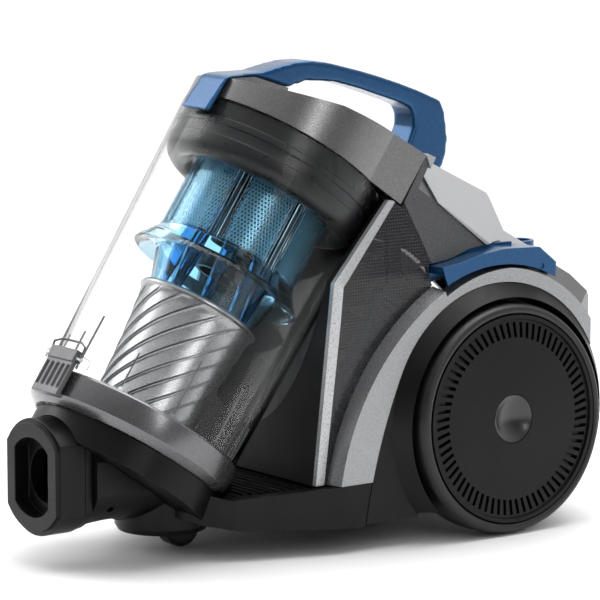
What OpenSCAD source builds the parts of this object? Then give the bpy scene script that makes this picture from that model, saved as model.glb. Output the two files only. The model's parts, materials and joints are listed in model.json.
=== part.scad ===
// Canister vacuum cleaner with a tilted clear dust bin.
// +X is the machine's left side, -Y is the hose inlet, +Z is up.

/* [Overall] */
// Length from the hose inlet face to the rear corners
body_len = 462; // [446:1:520]
// Half width of the upper body at the wheel arches
side_x = 88; // [82:1:96]
// Half width over the wheel caps
overall_half_w = 120; // [114:1:132]
// Wall of the upper body shells
shell_t = 3; // [2:0.5:4]

/* [Wheels] */
// Rear wheel diameter
wheel_d = 170; // [140:1:205]
// Width of the tyre
tyre_w = 34; // [26:1:40]
// Depth of the tyre ring outside the wheel disc
tyre_ring = 8.6; // [7:0.2:12]
// Distance of the rear axle behind the middle of the body
axle_y = 112; // [104:1:118]
// Camber of the rear wheels, tops leaning in
camber = 2.3; // [0:0.1:4]
// Diameter of the rear stub axles
axle_d = 10; // [8:0.5:14]
// Radial running clearance of shafts in their bores
run_fit = 0.1; // [0.05:0.01:0.15]
// Number of vane slots in each wheel disc
vane_count = 70; // [40:2:84]
// Gap from the tyre to the wheel well
well_gap = 4.5; // [3:0.5:8]

/* [Caster] */
// Diameter of the front caster wheel
caster_d = 30; // [24:1:34]
// Width of the front caster wheel
caster_w = 16; // [12:1:20]
// Distance from the middle of the body forward to the caster swivel
caster_y = 119; // [114:1:122]
// Trail of the caster wheel behind its swivel
caster_trail = 14; // [8:0.5:15]
// Diameter of the caster swivel pin
pivot_d = 8; // [6:0.5:10]

/* [Dust bin] */
// Lean of the bin, top towards the rear
bin_tilt = 34.8; // [30:0.2:38]
// Inner-corner height of the bin floor ring above the ground
bin_z = 95.8; // [90:0.2:104]
// Distance of the bin floor centre forward of the middle of the body
bin_y = 138.2; // [134:0.2:142]
// Outer radius of the clear bin at its foot
bin_r = 76; // [70:0.5:80]
// Height of the clear bin wall
bin_h = 224; // [186:1:270]
// Wall of the clear bin
bin_t = 2.4; // [1.8:0.1:3.5]
// Height of the floor ring
ring_h = 18; // [14:1:22]
// Radius of the rim of the silver cone
cone_r = 46.2; // [38:0.2:50]
// Height of the silver cone
cone_h = 91; // [76:1:96]
// Radius of the umbrella skirt
skirt_r = 65.8; // [54:0.2:70]
// Radius of the mesh shroud
mesh_r = 54; // [46:0.5:56]
// Height of the mesh shroud
mesh_h = 57; // [48:1:62]

/* [Hose inlet] */
// Radius of the round hose socket
socket_r = 19.5; // [16:0.25:22]
// Length of the round hose socket
socket_len = 30; // [25:1:40]
// Height of the centre of the inlet
inlet_z = 65; // [62:1:70]
// Outer radius of the inlet collar
collar_r = 42; // [38:1:46]
// Half width over the flats of the collar
collar_flat = 33; // [30:1:38]
// Radius of the recess in the collar face
recess_r = 28.5; // [25:0.5:32]
// Half width over the flats of the recess
recess_flat = 21; // [20:0.5:24]

/* [Handle and controls] */
// Half width of the handle grip
grip_w = 13; // [10:0.5:16]
// Diameter of the bin release button
button_d = 18; // [14:1:20]
// Press angle of the foot pedals
pedal_angle = 4; // [2:0.5:5]
// Diameter of the suction knob
knob_d = 22; // [16:1:26]

/* [Motor and reel] */
// Radius of the motor can
motor_r = 40; // [34:1:44]
// Length of the motor can
motor_len = 62; // [50:1:70]
// Radius of the fan wheel
fan_r = 43; // [36:1:46]
// Radius of the cord reel flanges
reel_r = 60; // [50:1:64]
// Width between the cord reel flanges
reel_w = 26; // [20:1:30]

/* [Hidden] */
$fn = 96;
eps = 0.01;
big = 600;

// Ground line, rear axle and wheel well
wheel_r = wheel_d / 2;
tyre_edge = 6;
axle_z = tyre_edge + (wheel_r - tyre_edge) * cos(camber) + (tyre_w / 2 - tyre_edge) * sin(camber);
wheel_x = overall_half_w - tyre_w / 2;
rim_r = wheel_r - tyre_ring;
well_r = wheel_r + well_gap;
well_x = wheel_x - tyre_w / 2 - 7;
arch_lip_x = overall_half_w - 8;
arch_in_r = wheel_r + 14.5;
arch_out_r = wheel_r + 27.8;
arch_top_x = side_x + 13;
sill_z = 50;
base_z = 18;
hub_r = 14;
caster_r = caster_d / 2;
disc_t = 6;
dimple_r = 18;
vane_in = 60;
vane_out = 73;

// Curves of the arch that run down to the sill, tangent to the circles round the axle
out_shift = 76;
out_angle = 60;
in_shift = 300;
in_angle = 25;

// Front inlet
front_y = -body_len / 2;
rear_y = body_len / 2;
collar_len = 24;
neck_len = 7;
recess_depth = 12;
socket_wall = 3;
seal_t = 2;

// Frame of the bin: origin at the top edge of the floor ring
function bin_point(yl, zl) = [
  -bin_y + yl * cos(bin_tilt) + zl * sin(bin_tilt),
  bin_z - yl * sin(bin_tilt) + zl * cos(bin_tilt)
];
bin_flare = 1.45;
bin_top_r = bin_r + bin_h * tan(bin_flare);
cap_r = bin_top_r - 0.6;
ring_r = bin_r + 2.6;
cradle_gap = 2.2;
cradle_r = bin_top_r + cradle_gap;
cradle_t = 3;
seam_yl = 60;
seam_gap = 1.2;
cap_flat_x = 77;
cap_h = 41.5;
duct_r = 19;
duct_t = 2;

module bin_frame() translate([0, -bin_y, bin_z]) rotate([-bin_tilt, 0, 0]) children();
module axle_frame() translate([wheel_x, axle_y, axle_z]) rotate([0, 90 - camber, 0]) children();
module both() { children(); mirror([1, 0, 0]) children(); }
// Extrudes a side view, drawn as (y, z), between two values of x
module side(x0, x1) translate([x0, 0, 0]) rotate([90, 0, 90]) linear_extrude(x1 - x0) children();
// Extrudes a front view, drawn as (x, z), over the whole length
module front(y0, y1) translate([0, y1, 0]) rotate([90, 0, 0]) linear_extrude(y1 - y0) children();
module tube(r_out, r_in, h) difference() {
  cylinder(r = r_out, h = h);
  translate([0, 0, -1]) cylinder(r = r_in, h = h + 2);
}

// ---- Outer envelope of the upper body ----
knee = bin_point(31.5, 143);
strip_top = bin_point(47, bin_h - 4);
seam_low = bin_point(seam_yl, bin_h + 3);
seam_top = bin_point(seam_yl, bin_h + cap_h);
ridge_rear = bin_point(149, bin_h + 57);
front_foot = [axle_y - 159, sill_z];
rear_shelf = [rear_y - 67, axle_z + 119];
rear_edge = [rear_y - 18, axle_z + 92];

module envelope_side(drop = 0) polygon([
  front_foot - [0, drop], front_foot, knee, strip_top, seam_low, seam_top, ridge_rear, rear_shelf,
    rear_edge,
  [rear_y, axle_z + 74], [rear_y, axle_z + 34], [rear_y - 8, axle_z - 16], [rear_y - 20, sill_z],
  [rear_y - 20, sill_z - drop]
]);
top_z = seam_top[1];
module envelope_front(drop = 0) polygon([
  [side_x, sill_z - drop], [side_x, axle_z + 110], [side_x - 10, axle_z + 164], [side_x - 13, top_z + 2],
  [-side_x + 13, top_z + 2], [-side_x + 10, axle_z + 164], [-side_x, axle_z + 110], [-side_x, sill_z - drop]
]);
// Plan view: the rear corners are cut back
module envelope_plan() polygon([
  [side_x, -big], [side_x, rear_y - 30], [side_x - 24, rear_y], [-side_x + 24, rear_y],
  [-side_x, rear_y - 30], [-side_x, -big]
]);
// Sloping facets: the sides of the top panel and the rear corners
module half_space(at, lean, turn, inset) translate(at) rotate([0, lean, turn])
  translate([-big / 2, -big / 2, -inset]) cube(big);
module facets(inset) both() {
  intersection() {
    half_space([side_x - 43, axle_y - 23, axle_z + 188], 52.9, 27.1, inset);
    bin_frame() translate([-1, seam_yl + 7 - inset, bin_h - 80]) cube(big);
  }
  half_space([side_x - 28, rear_y - 10, axle_z + 92], 54.2, 41.8, inset);
  intersection() {
    half_space([side_x - 43, rear_shelf[0], rear_shelf[1]], 67.1, 55.1, inset);
    side(0, big) translate([0, -inset]) polygon([
      rear_shelf + [-66, 36.3], rear_shelf, rear_shelf + [66, -36.3], rear_shelf + [66, 200],
        rear_shelf + [-66, 200]
    ]);
  }
}
module envelope(inset, drop = 0) difference() {
  intersection() {
    side(-big / 2, big / 2) offset(delta = -inset) envelope_side(drop);
    front(-big, big) offset(delta = -inset) envelope_front(drop);
    linear_extrude(big) offset(delta = -inset) envelope_plan();
  }
  facets(inset);
}
module skin(t) difference() {
  envelope(0);
  envelope(t, 20);
}
// Space swept by the bin, with a running gap
module bin_space(gap) bin_frame() {
  translate([0, 0, -60]) cylinder(r = cradle_r + gap, h = big);
  translate([-big / 2, seam_yl - big, bin_h - 2]) cube([big, big + gap, big]);
}
// Space of the rear tongue of the cap and the foot of the handle
tongue_w = 22;
tongue_end = 142;
tongue_floor = bin_h + 38;
module tongue_space(gap) bin_frame()
  translate([-tongue_w - gap, 0, tongue_floor - gap])
    cube([2 * (tongue_w + gap), tongue_end + gap, big]);
// Wheel wells, both sides
module wheel_space(r, x) both() translate([x, axle_y, axle_z]) rotate([0, 90, 0])
  cylinder(r = r, h = big);

// ---- Arch outlines, (y, z) ----
module arch_curve(r, shift, angle) {
  translate([axle_y, axle_z]) circle(r = r);
  intersection() {
    translate([axle_y + shift * cos(angle), axle_z - shift * sin(angle)])
      circle(r = r + shift, $fn = 240);
    translate([axle_y, axle_z]) rotate(180 - angle) translate([0, 0]) square([big, big]);
  }
}
module arch_outer(grow) arch_curve(arch_out_r + grow, out_shift, out_angle);
module arch_inner(grow) arch_curve(arch_in_r + grow, in_shift, in_angle);
rear_cut_z = axle_z + 42;
module above_sill(gap) {
  translate([-big, sill_z + gap]) square([big + axle_y, big]);
  translate([axle_y - 1, rear_cut_z + gap]) square([big, big]);
}

// ---- Chassis ----
deck_front_x = 74;
deck_front_y = 31 - bin_y;
deck_rear_x = 100;
deck_rear_y = axle_y - 143;
module chassis_plan(inset) offset(delta = -inset) polygon([
  [-50, 8 - bin_y], [50, 8 - bin_y], [deck_front_x, deck_front_y], [deck_rear_x, deck_rear_y],
  [arch_top_x, axle_y - well_r - 4], [well_x, axle_y - well_r + 6], [well_x, rear_y - 36],
  [well_x - 20, rear_y - 18], [-well_x + 20, rear_y - 18], [-well_x, rear_y - 36],
  [-well_x, axle_y - well_r + 6], [-arch_top_x, axle_y - well_r - 4],
  [-deck_rear_x, deck_rear_y], [-deck_front_x, deck_front_y]
]);
module chassis_side(inset) offset(delta = -inset) polygon([
  [5 - bin_y, 30], [15 - bin_y, 26], [38 - bin_y, base_z + 4], [axle_y - 120, base_z], [axle_y - 104,
    base_z + 3],
  [rear_y - 60, base_z + 3], [rear_y - 16, 34], [rear_y - 16, sill_z], [axle_y - 140, sill_z],
  [28 - bin_y, 45], [5 - bin_y, 52]
]);
// The seat under the bin ring: a round cup that leans with the bin
seat_r = ring_r - 6.6;
seat_shift = 4;
seat_top = -ring_h - 7.3;
seat_depth = 20;
module seat_cup(grow, up) bin_frame() translate([0, seat_shift, seat_top - seat_depth - grow])
  cylinder(r = seat_r + grow, h = seat_depth + grow + up);
caster_boss_r = caster_r + caster_trail + 5.4;
caster_top = caster_d + 11;
module caster_boss(grow) translate([0, -caster_y, 9]) {
  cylinder(r1 = caster_boss_r - 6 + grow, r2 = caster_boss_r + grow, h = 10);
  translate([0, 0, 10 - eps]) cylinder(r = caster_boss_r + grow, h = caster_top - 19 + grow);
}
module caster_space() {
  translate([0, -caster_y, -1]) cylinder(r = caster_boss_r - 2.4, h = caster_d + 4.4);
  translate([0, -caster_y, 0]) cylinder(r = pivot_d / 2 + run_fit, h = caster_d + 10);
}
module chassis_base() color("#26272a") difference() {
  union() {
    intersection() {
      linear_extrude(sill_z) chassis_plan(0);
      side(-big / 2, big / 2) chassis_side(0);
    }
    caster_boss(0);
  }
  // hollow of the pan behind the bin
  difference() {
    intersection() {
      translate([0, 0, base_z + 6]) linear_extrude(sill_z) chassis_plan(3);
      translate([-big / 2, deck_rear_y - 2, base_z]) cube([big, 2 * big, big]);
      side(-big / 2, big / 2) offset(delta = -3) union() {
        chassis_side(0);
        translate([axle_y - 140, sill_z - 20]) square([rear_y - 16 - axle_y + 140, 60]);
      }
    }
    screw_posts();
  }
  seat_cup(0.3, big);
  bin_frame() translate([0, 0, seat_top + 0.2]) cylinder(r = ring_r + 2, h = big);
  deck_pocket();
  both() side(side_x + 0.2, big) arch_inner(-0.1);
  caster_space();
  wheel_space(well_r + 3.2, well_x - 3);
  screw_holes();
}
// Deck behind the bin foot
deck_floor = 42;
module deck_outline(inset) offset(delta = -inset) polygon([
  [-66, deck_front_y + 6], [66, deck_front_y + 6], [deck_rear_x - 9, deck_rear_y - 2],
    [deck_rear_x - 14, deck_rear_y - 6],
  [-deck_rear_x + 14, deck_rear_y - 6], [-deck_rear_x + 9, deck_rear_y - 2]
]);
module deck_pocket() translate([0, 0, deck_floor]) linear_extrude(big) deck_outline(0);
module ribbed_deck() color("#1f2022") difference() {
  union() {
    translate([0, 0, deck_floor]) linear_extrude(4) deck_outline(0.4);
    intersection() {
      for (i = [0:8]) translate([-big / 2, deck_front_y + 12 + i * 6.5, deck_floor + 4 - eps])
        cube([big, 3, 1.6]);
      translate([0, 0, deck_floor]) linear_extrude(10) deck_outline(1.5);
    }
  }
  bin_frame() translate([0, 0, -ring_h - 9]) cylinder(r = ring_r + 2.6, h = big);
  bin_frame() translate([-21, 0, -ring_h - 9]) cube([42, bin_r + 9, big]);
  seat_cup(0.6, big);
}
module front_cover() color("#26272a") difference() {
  seat_cup(0, 0);
  translate([0, front_y + collar_len + neck_len + 0.2, inlet_z]) inlet_shape(collar_r + 0.3,
    collar_flat + 0.3, 60);
  // dish under the bin ring
  bin_frame() translate([0, seat_shift, seat_top - 5]) cylinder(r = seat_r - 4, h = big);
  // bore for the air duct
  bin_frame() translate([0, 0, seat_top - seat_depth - 15]) cylinder(r = duct_r + duct_t + 0.3, h = 80);
  translate([0, front_y + 40, inlet_z]) rotate([-90, 0, 0]) cylinder(r = snout_r + 0.3,
    h = snout_len - 8.7);
  translate([0, front_y, inlet_z]) rotate([-90, 0, 0])
    cylinder(r = socket_r + socket_wall + 0.3, h = collar_len + neck_len + 15.4);
  caster_boss(0.3);
  translate([-big / 2, -big / 2, -big + base_z]) cube([big, big, big]);
}
snout_len = 62;
snout_r = 39;

module snout_duct() color("#2a2b2e") difference() {
  translate([0, front_y + collar_len + neck_len + 0.2, inlet_z]) rotate([-90, 0, 0])
    linear_extrude(snout_len)
    collar_outline(snout_r, snout_r - 2);
  translate([0, front_y - 1, inlet_z]) rotate([-90, 0, 0])
    cylinder(r = socket_r + socket_wall + 0.3, h = collar_len + neck_len + 15.4);
  translate([0, front_y, inlet_z]) rotate([-90, 0, 0]) cylinder(r = duct_r + duct_t + 0.3, h = 120);
  seat_cup(0.1, big);
  bin_frame() translate([0, 0, seat_top - 0.4]) cylinder(r = ring_r + 9, h = big);
  bin_frame() translate([0, 0, seat_top - 70]) cylinder(r = duct_r + duct_t + 0.3, h = 90);
  caster_boss(0.3);
  translate([snout_r - 14, front_y + 46, inlet_z - 22]) rotate([0, 105, 0]) cylinder(r = 2.6, h = 30);
}
module collar_outline(r, flat) intersection() {
  circle(r = r);
  square([2 * flat, 4 * r], center = true);
}
module inlet_shape(r, flat, h) rotate([90, 0, 0]) linear_extrude(h) collar_outline(r, flat);
module inlet_collar() color("#303134") difference() {
  union() {
    translate([0, front_y + 3 + collar_len - 3, inlet_z]) inlet_shape(collar_r, collar_flat,
      collar_len - 3);
    translate([0, front_y + 3 + eps, inlet_z]) inlet_shape(collar_r - 3, collar_flat - 1.5, 3 + eps);
    translate([0, front_y + collar_len + neck_len - 0.2, inlet_z])
      inlet_shape(collar_r - 1.5, collar_flat - 1, neck_len + eps);
    translate([0, front_y + socket_len + recess_depth, inlet_z]) rotate([90, 0, 0])
      cylinder(r = socket_r + socket_wall, h = socket_len);
  }
  translate([0, front_y + recess_depth, inlet_z]) inlet_shape(recess_r, recess_flat, recess_depth + 1);
  translate([0, front_y + 1, inlet_z]) rotate([-90, 0, 0]) cylinder(r = socket_r, h = big / 4);
}
module inlet_seal() color("#101012")
  translate([0, front_y + recess_depth + socket_len + 0.2, inlet_z]) rotate([-90, 0, 0])
    tube(socket_r + socket_wall, socket_r - 1, seal_t);
// Duct that turns up into the middle of the bin
duct_start = front_y + recess_depth + socket_len + seal_t + 0.4;
duct_rise = seat_top - 6;
module air_duct() color("#3a3b3e") {
  rise = bin_point(0, 0);
  hit_zl = (inlet_z - bin_z) / cos(bin_tilt);
  hit = bin_point(0, hit_zl);
  difference() {
    union() {
      translate([0, duct_start, inlet_z]) rotate([-90, 0, 0])
        cylinder(r = duct_r + duct_t, h = hit[0] - duct_start + 6);
      bin_frame() translate([0, 0, hit_zl - 10]) cylinder(r = duct_r + duct_t,
        h = duct_rise + 10 - hit_zl + 6);
    }
    translate([0, duct_start - 1, inlet_z]) rotate([-90, 0, 0])
      cylinder(r = duct_r, h = hit[0] - duct_start + 1);
    bin_frame() translate([0, 0, hit_zl - 2]) cylinder(r = duct_r, h = 80);
  }
}

// ---- Arch panels, trims, strips and windows ----
module arch_panel() difference() {
  union() {
    pedal_ear();
    axle_frame() translate([0, 0, axle_flange_z + 8]) cylinder(r = hub_r + 3, h = 11);
    translate([0, axle_y, axle_z]) rotate([0, 90, 0]) rotate_extrude() polygon([
      [hub_r, well_x], [well_r, well_x], [well_r, arch_lip_x], [arch_in_r - 0.4, arch_top_x],
      [arch_in_r - 0.4, arch_top_x - 6], [well_r + 2.5, arch_top_x - 4], [well_r + 2.5, well_x - 2.5],
      [hub_r, well_x - 2.5]
    ]);
    difference() {
      side(side_x + 0.4, arch_top_x) difference() {
        arch_inner(-0.4);
        translate([axle_y, axle_z]) circle(r = well_r + 1);
      }
      translate([0, axle_y, -big]) cube([big, big, big * 2]);
    }
  }
  translate([0, pedal_pin[0], pedal_pin[1]]) rotate([0, 90, 0]) cylinder(r = pin_r, h = big);
  // open at the foot of the wheel
  translate([0, axle_y - well_r + 14, -eps]) cube([big, 2 * well_r + 40, base_z + 5]);
  translate([0, -big, -big + base_z + 2]) cube([big, 2 * big, big]);
  translate([well_x + 0.6, axle_y, -1]) cube([big, well_r * 2, 60]);
  axle_frame() cylinder(r = axle_d / 2, h = big, center = true);
}
module arch_panel_left() color("#222326") arch_panel();
module arch_panel_right() color("#222326") mirror([1, 0, 0]) arch_panel();
trim_chamfer = 3;
module arch_trim() difference() {
  union() {
    translate([side_x + 0.3, axle_y, axle_z]) rotate([0, 90, 0])
      cylinder(r1 = arch_out_r, r2 = arch_out_r - trim_chamfer, h = arch_top_x - side_x);
    intersection() {
      translate([side_x + 0.3, axle_y + out_shift * cos(out_angle), axle_z - out_shift * sin(out_angle)])
        rotate([0, 90, 0]) cylinder(r1 = arch_out_r + out_shift, r2 = arch_out_r + out_shift - trim_chamfer,
          h = arch_top_x - side_x, $fn = 240);
      side(0, big) translate([axle_y, axle_z]) rotate(180 - out_angle) square([big, big]);
    }
  }
  side(0, big) arch_inner(0);
  side(0, big) difference() {
    translate([-big, -big]) square([3 * big, 3 * big]);
    above_sill(0.3);
  }
  translate([0, rear_y - 30, 0]) cube([big, big, big]);
  pedal_well();
}
module arch_trim_left() color("#b9bcc0") arch_trim();
module arch_trim_right() color("#b9bcc0") mirror([1, 0, 0]) arch_trim();

strip_w = 7.5;
strip_t = 3;
strip_proud = 1;
module strip_region() polygon([
  front_foot + [-4, 0.4], knee + [-6, 3], strip_top + [-6, 4], strip_top + [strip_w, 0],
  knee + [strip_w + 1, -3], [knee[0] + strip_w - 2, knee[1] - 32], front_foot + [strip_w, 0.4]
]);
window_corner = [axle_y - 50.4, axle_z + 113];
module window_region() difference() {
  polygon([
    front_foot + [strip_w + 0.3, 0.4], [knee[0] + strip_w - 1.7, knee[1] - 32],
    knee + [strip_w + 1.3, -3], strip_top + [strip_w + 0.3, 0], seam_low, window_corner,
    [axle_y, axle_z + 40], [axle_y - 60, sill_z + 0.4]
  ]);
  arch_outer(0.3);
}
module side_piece(t, proud) intersection() {
  difference() {
    side(0, side_x + proud) intersection() {
      envelope_side();
      children();
    }
    front(-big, big) offset(delta = -t) envelope_front(20);
  }
  front(-big, big) offset(delta = proud) envelope_front();
  linear_extrude(big) offset(delta = proud) envelope_plan();
}
module side_strip() difference() {
  side_piece(strip_t, strip_proud) strip_region();
  bin_space(seam_gap);
}
module side_strip_left() color("#c4c7cb") side_strip();
module side_strip_right() color("#c4c7cb") mirror([1, 0, 0]) side_strip();
module side_window() difference() {
  side_piece(2.5, 0) window_region();
  bin_space(seam_gap);
  pedal_well();
}
module side_window_left() color("#55585c", 0.55) side_window();
module side_window_right() color("#55585c", 0.55) mirror([1, 0, 0]) side_window();

// ---- Upper shells ----
ledge_t = 2.4;
board_z = axle_z + 94;
board_t = 1.6;
panel_raise = 1.6;
module panel_region() polygon([
  seam_low + [27.4, 15.6], seam_low + [30, -3.4], [axle_y - 1, axle_z + 126], [rear_y - 72, axle_z + 117],
  [rear_y - 50, axle_z + 112], [rear_y - 50, top_z + 60], seam_top + [-40, 60], seam_low + [20, 40]
]);
module shell_region() difference() {
  polygon([
    seam_low, window_corner, [axle_y - 50, axle_z + 80], [axle_y, sill_z + 0.4], [rear_y + 20,
      sill_z + 0.4],
    [rear_y + 20, top_z + 60], seam_top + [-30, 60]
  ]);
  arch_outer(0.3);
}
module upper_shell() color("#85888c") difference() {
  union() {
    intersection() {
      skin(shell_t);
      union() {
        side(-big, big) shell_region();
        // floor-side and rear walls between the arches
        side(-well_x + 3, well_x - 3) translate([axle_y + 60, sill_z + 0.4]) square([big, big]);
      }
    }
    // ledge under the top panel
    intersection() {
      skin(shell_t + ledge_t);
      side(-big, big) intersection() {
        shell_region();
        offset(delta = 5) panel_region();
      }
    }
    // pocket for the tongue of the bin cap, cup of the knob and posts of the board
    intersection() {
      envelope(1);
      union() {
        bin_frame() translate([-tongue_w - 4, seam_yl + 2, tongue_floor - 4])
          cube([2 * tongue_w + 8, tongue_end - seam_yl + 4, 40]);
        knob_frame() translate([0, 0, -6]) cylinder(r = knob_d / 2 + 3.5, h = 30);
        for (s = [-1, 1]) translate([s * 20, rear_y - 72, board_z + board_t]) cylinder(r = 3, h = 60);
      }
    }
  }
  difference() {
    side(-big, big) offset(delta = 0.3) panel_region();
    envelope(shell_t + 0.3, 20);
  }
  pedal_wells();
  bin_space(seam_gap);
  tongue_space(0.6);
  wheel_space(well_r + 3, well_x - 3);
  grille_cut(0);
  knob_cut();
  translate([gland_x, rear_y - 40, gland_z]) rotate([-90, 0, 0]) cylinder(r = 8, h = 60);
  pin_holes();
  translate([0, 0, -big + sill_z]) cube([2 * big, 2 * big, 2 * big], center = true);
}

module pedal_wells() both() pedal_well();
module top_panel() color("#d0d3d6") difference() {
  intersection() {
    difference() {
      envelope(-panel_raise);
      envelope(shell_t, 20);
    }
    side(-big, big) panel_region();
  }
  bin_space(seam_gap);
  tongue_space(0.6);
  pedal_wells();
}
// Dark concave wall behind the bin
wing_t = 3;
module wing_side() polygon([
  front_foot + [-9, 0], knee + [-20, 0], strip_top + [-20, 10], strip_top + [3.2, -2.4], knee + [3.2, -1],
  front_foot + [3.2, 0]
]);
module bin_cradle() color("#1b1c1e") difference() {
  union() {
    intersection() {
      bin_frame() translate([0, 0, -40]) tube(cradle_r + seam_gap + cradle_t, cradle_r + seam_gap,
        bin_h + 38);
      union() {
        envelope(shell_t + ledge_t + 0.3);
        intersection() {
          envelope(0.2);
          side(-side_x, side_x) polygon([
            front_foot + [-9, 0], knee + [-20, 0], strip_top + [-20, -8], strip_top + [7, -14],
              knee + [8, -1],
            front_foot + [8, 0]
          ]);
        }
      }
    }
    // flat wings beside the bin
    intersection() {
      difference() {
        envelope(0.2);
        envelope(wing_t, 20);
      }
      side(-side_x + strip_t + 0.4, side_x - strip_t - 0.4) wing_side();
    }
  }
  bin_space(seam_gap);
  front(-big, big) difference() {
    translate([-big, 0]) square([2 * big, big]);
    offset(delta = -strip_t - 0.4) envelope_front(20);
  }
  translate([0, 0, -big + sill_z]) cube([2 * big, 2 * big, 2 * big], center = true);
}
// Exhaust filter behind each window: frame with slanted pleats
filter_y = 8;
filter_z = axle_z + 41;
module exhaust_filter() difference() {
  translate([side_x - 17, filter_y, filter_z]) rotate([60, 0, 0]) {
    difference() {
      translate([0, -58, -20]) cube([10, 116, 40]);
      translate([-1, -53, -15]) cube([12, 106, 30]);
    }
    for (i = [0:12]) translate([2, -53 - eps + i * 8.4, -15 - eps]) cube([5, 3, 30 + 2 * eps]);
  }
  wheel_space(well_r + 2.8, well_x - 3);
}
module exhaust_filter_left() color("#3f7fae") exhaust_filter();
module exhaust_filter_right() color("#3f7fae") mirror([1, 0, 0]) exhaust_filter();

// Rear grille: a door with slots, hinged at its lower edge
grille_w = 96;
grille_z0 = axle_z - 18;
grille_h = 82;
grille_y = rear_y - 14;
module grille_cut(gap) translate([-grille_w / 2 - gap, grille_y, grille_z0 - gap])
  cube([grille_w + 2 * gap, 60, grille_h + 2 * gap]);
module rear_grille() color("#2b2c2f") intersection() {
  envelope(0.4);
  difference() {
    translate([-grille_w / 2, rear_y - 4.4, grille_z0]) cube([grille_w, 10, grille_h]);
    for (i = [0:8]) translate([-grille_w / 2 + 9, rear_y - 10, grille_z0 + 8 + i * 8])
      cube([grille_w - 18, 20, 4]);
  }
}

// ---- Motor, fan and electrics ----
motor_y = 52;
motor_z = axle_z + 22;
module motor_frame() translate([0, motor_y, motor_z]) rotate([-90, 0, 0]) children();
housing_len = motor_len + 30;
foot_w = 64;
module motor_housing() color("#3b3c3f") difference() {
  union() {
    motor_frame() translate([0, 0, -6]) cylinder(r = fan_r + 8, h = housing_len + 6);
    for (y = [motor_y + 8, motor_y + housing_len - 20])
      translate([-foot_w / 2, y, base_z + 6]) cube([foot_w, 5, motor_z - base_z - 6]);
  }
  motor_frame() {
    translate([0, 0, -3]) cylinder(r = fan_r + 5, h = housing_len);
    translate([0, 0, -10]) cylinder(r = 20, h = 20);
    for (i = [0:7]) rotate(i * 45) translate([fan_r - 18, 0, housing_len - 10]) cylinder(r = 6, h = 20);
  }
}
module motor_can() color("#9a9da1") motor_frame() difference() {
  union() {
    translate([0, 0, 22]) cylinder(r = motor_r, h = motor_len);
    translate([0, 0, 17]) cylinder(r = motor_r - 24, h = 5 + eps);
  }
  translate([0, 0, 10]) cylinder(r = 4 + run_fit, h = motor_len);
}
module motor_mount_front() color("#18181a") motor_frame() translate([0, 0, 24])
  tube(fan_r + 5, motor_r, 7);
module motor_mount_rear() color("#18181a") motor_frame() translate([0, 0, 22 + motor_len - 10])
  tube(fan_r + 5, motor_r, 7);
module fan_wheel() color("#b8bbbf") motor_frame() difference() {
  union() {
    translate([0, 0, 2]) cylinder(r = fan_r, h = 2);
    translate([0, 0, 12]) cylinder(r = fan_r, h = 2);
    translate([0, 0, 2]) cylinder(r = 8, h = 12);
    for (i = [0:8]) rotate(i * 40) translate([14, 0, 3]) rotate([0, 0, 35]) cube([34, 1.6, 10]);
    translate([0, 0, 3]) cylinder(r = 4, h = 40);
  }
  translate([0, 0, 1]) difference() {
    cylinder(r = 14, h = 2.9);
    translate([0, 0, -1]) cylinder(r = 8, h = 6);
  }
  translate([0, 0, -1]) tube(fan_r + 30, fan_r, 20);
}
module circuit_board() color("#2c6b45") translate([0, rear_y, board_z]) {
  translate([-30, -90, 0]) cube([56, 36, board_t]);
  translate([-22, -84, -6]) cube([16, 9, 6 + eps]);
  translate([2, -80, -5]) cube([8, 18, 5 + eps]);
}
reel_y = 158;
reel_z = axle_z + 10;
module reel_frame() translate([0, reel_y, reel_z]) rotate([-90, 0, 0]) children();
module cord_reel() color("#4a4b4f") reel_frame() difference() {
  union() {
    cylinder(r = reel_r, h = 2.4);
    translate([0, 0, reel_w + 2.4]) cylinder(r = reel_r, h = 2.4);
    cylinder(r = 22, h = reel_w + 4.8);
  }
  translate([0, 0, -1]) cylinder(r = 6 + run_fit, h = reel_w + 10);
  for (i = [0:5]) rotate(i * 60) translate([40, 0, -1]) cylinder(r = 11, h = reel_w + 10);
}
module reel_axle() color("#8d9094") reel_frame() {
  translate([0, 0, -14]) cylinder(r = 6, h = reel_w + 26);
  translate([0, 0, -14]) cylinder(r = 14, h = 10);
}
gland_x = -34;
gland_z = axle_z + 78;
module cord_gland() color("#141416") translate([gland_x, rear_y - 20, gland_z]) rotate([-90, 0, 0])
  tube(8, 4.2, 18);

// ---- Wheels ----
cap_t = 4;
axle_flange_z = -tyre_w / 2 - 26;
module stub_axle() axle_frame() translate([0, 0, axle_flange_z]) {
  cylinder(r = axle_d / 2, h = tyre_w + 16);
  cylinder(r = axle_d / 2 + 6, h = 8);
}
module axle_left() color("#a6a9ad") stub_axle();
module axle_right() color("#a6a9ad") mirror([1, 0, 0]) stub_axle();
module disc_profile() polygon([
  [axle_d / 2 + run_fit, -tyre_w / 2 + 2], [hub_r, -tyre_w / 2 + 2], [hub_r, tyre_w / 2 - disc_t - 7],
  [rim_r - 3, tyre_w / 2 - disc_t - 7], [rim_r - 3, -tyre_w / 2 + 4], [rim_r - 0.05, -tyre_w / 2 + 4],
  [rim_r - 0.05, tyre_w / 2 - 0.6], [vane_out + 0.6, tyre_w / 2 - 0.6], [vane_out, tyre_w / 2 - 2.4],
  [dimple_r, tyre_w / 2 - 1.4], [dimple_r, tyre_w / 2 - 8], [axle_d / 2 + run_fit, tyre_w / 2 - 8]
]);
module wheel_disc() axle_frame() difference() {
  rotate_extrude() disc_profile();
  for (i = [0:vane_count - 1]) rotate(i * 360 / vane_count)
    translate([vane_in, 0, tyre_w / 2 - disc_t]) rotate([0, 0, 12])
      cube([vane_out - vane_in - 1.5, 2.6, disc_t + 2]);
}
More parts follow.
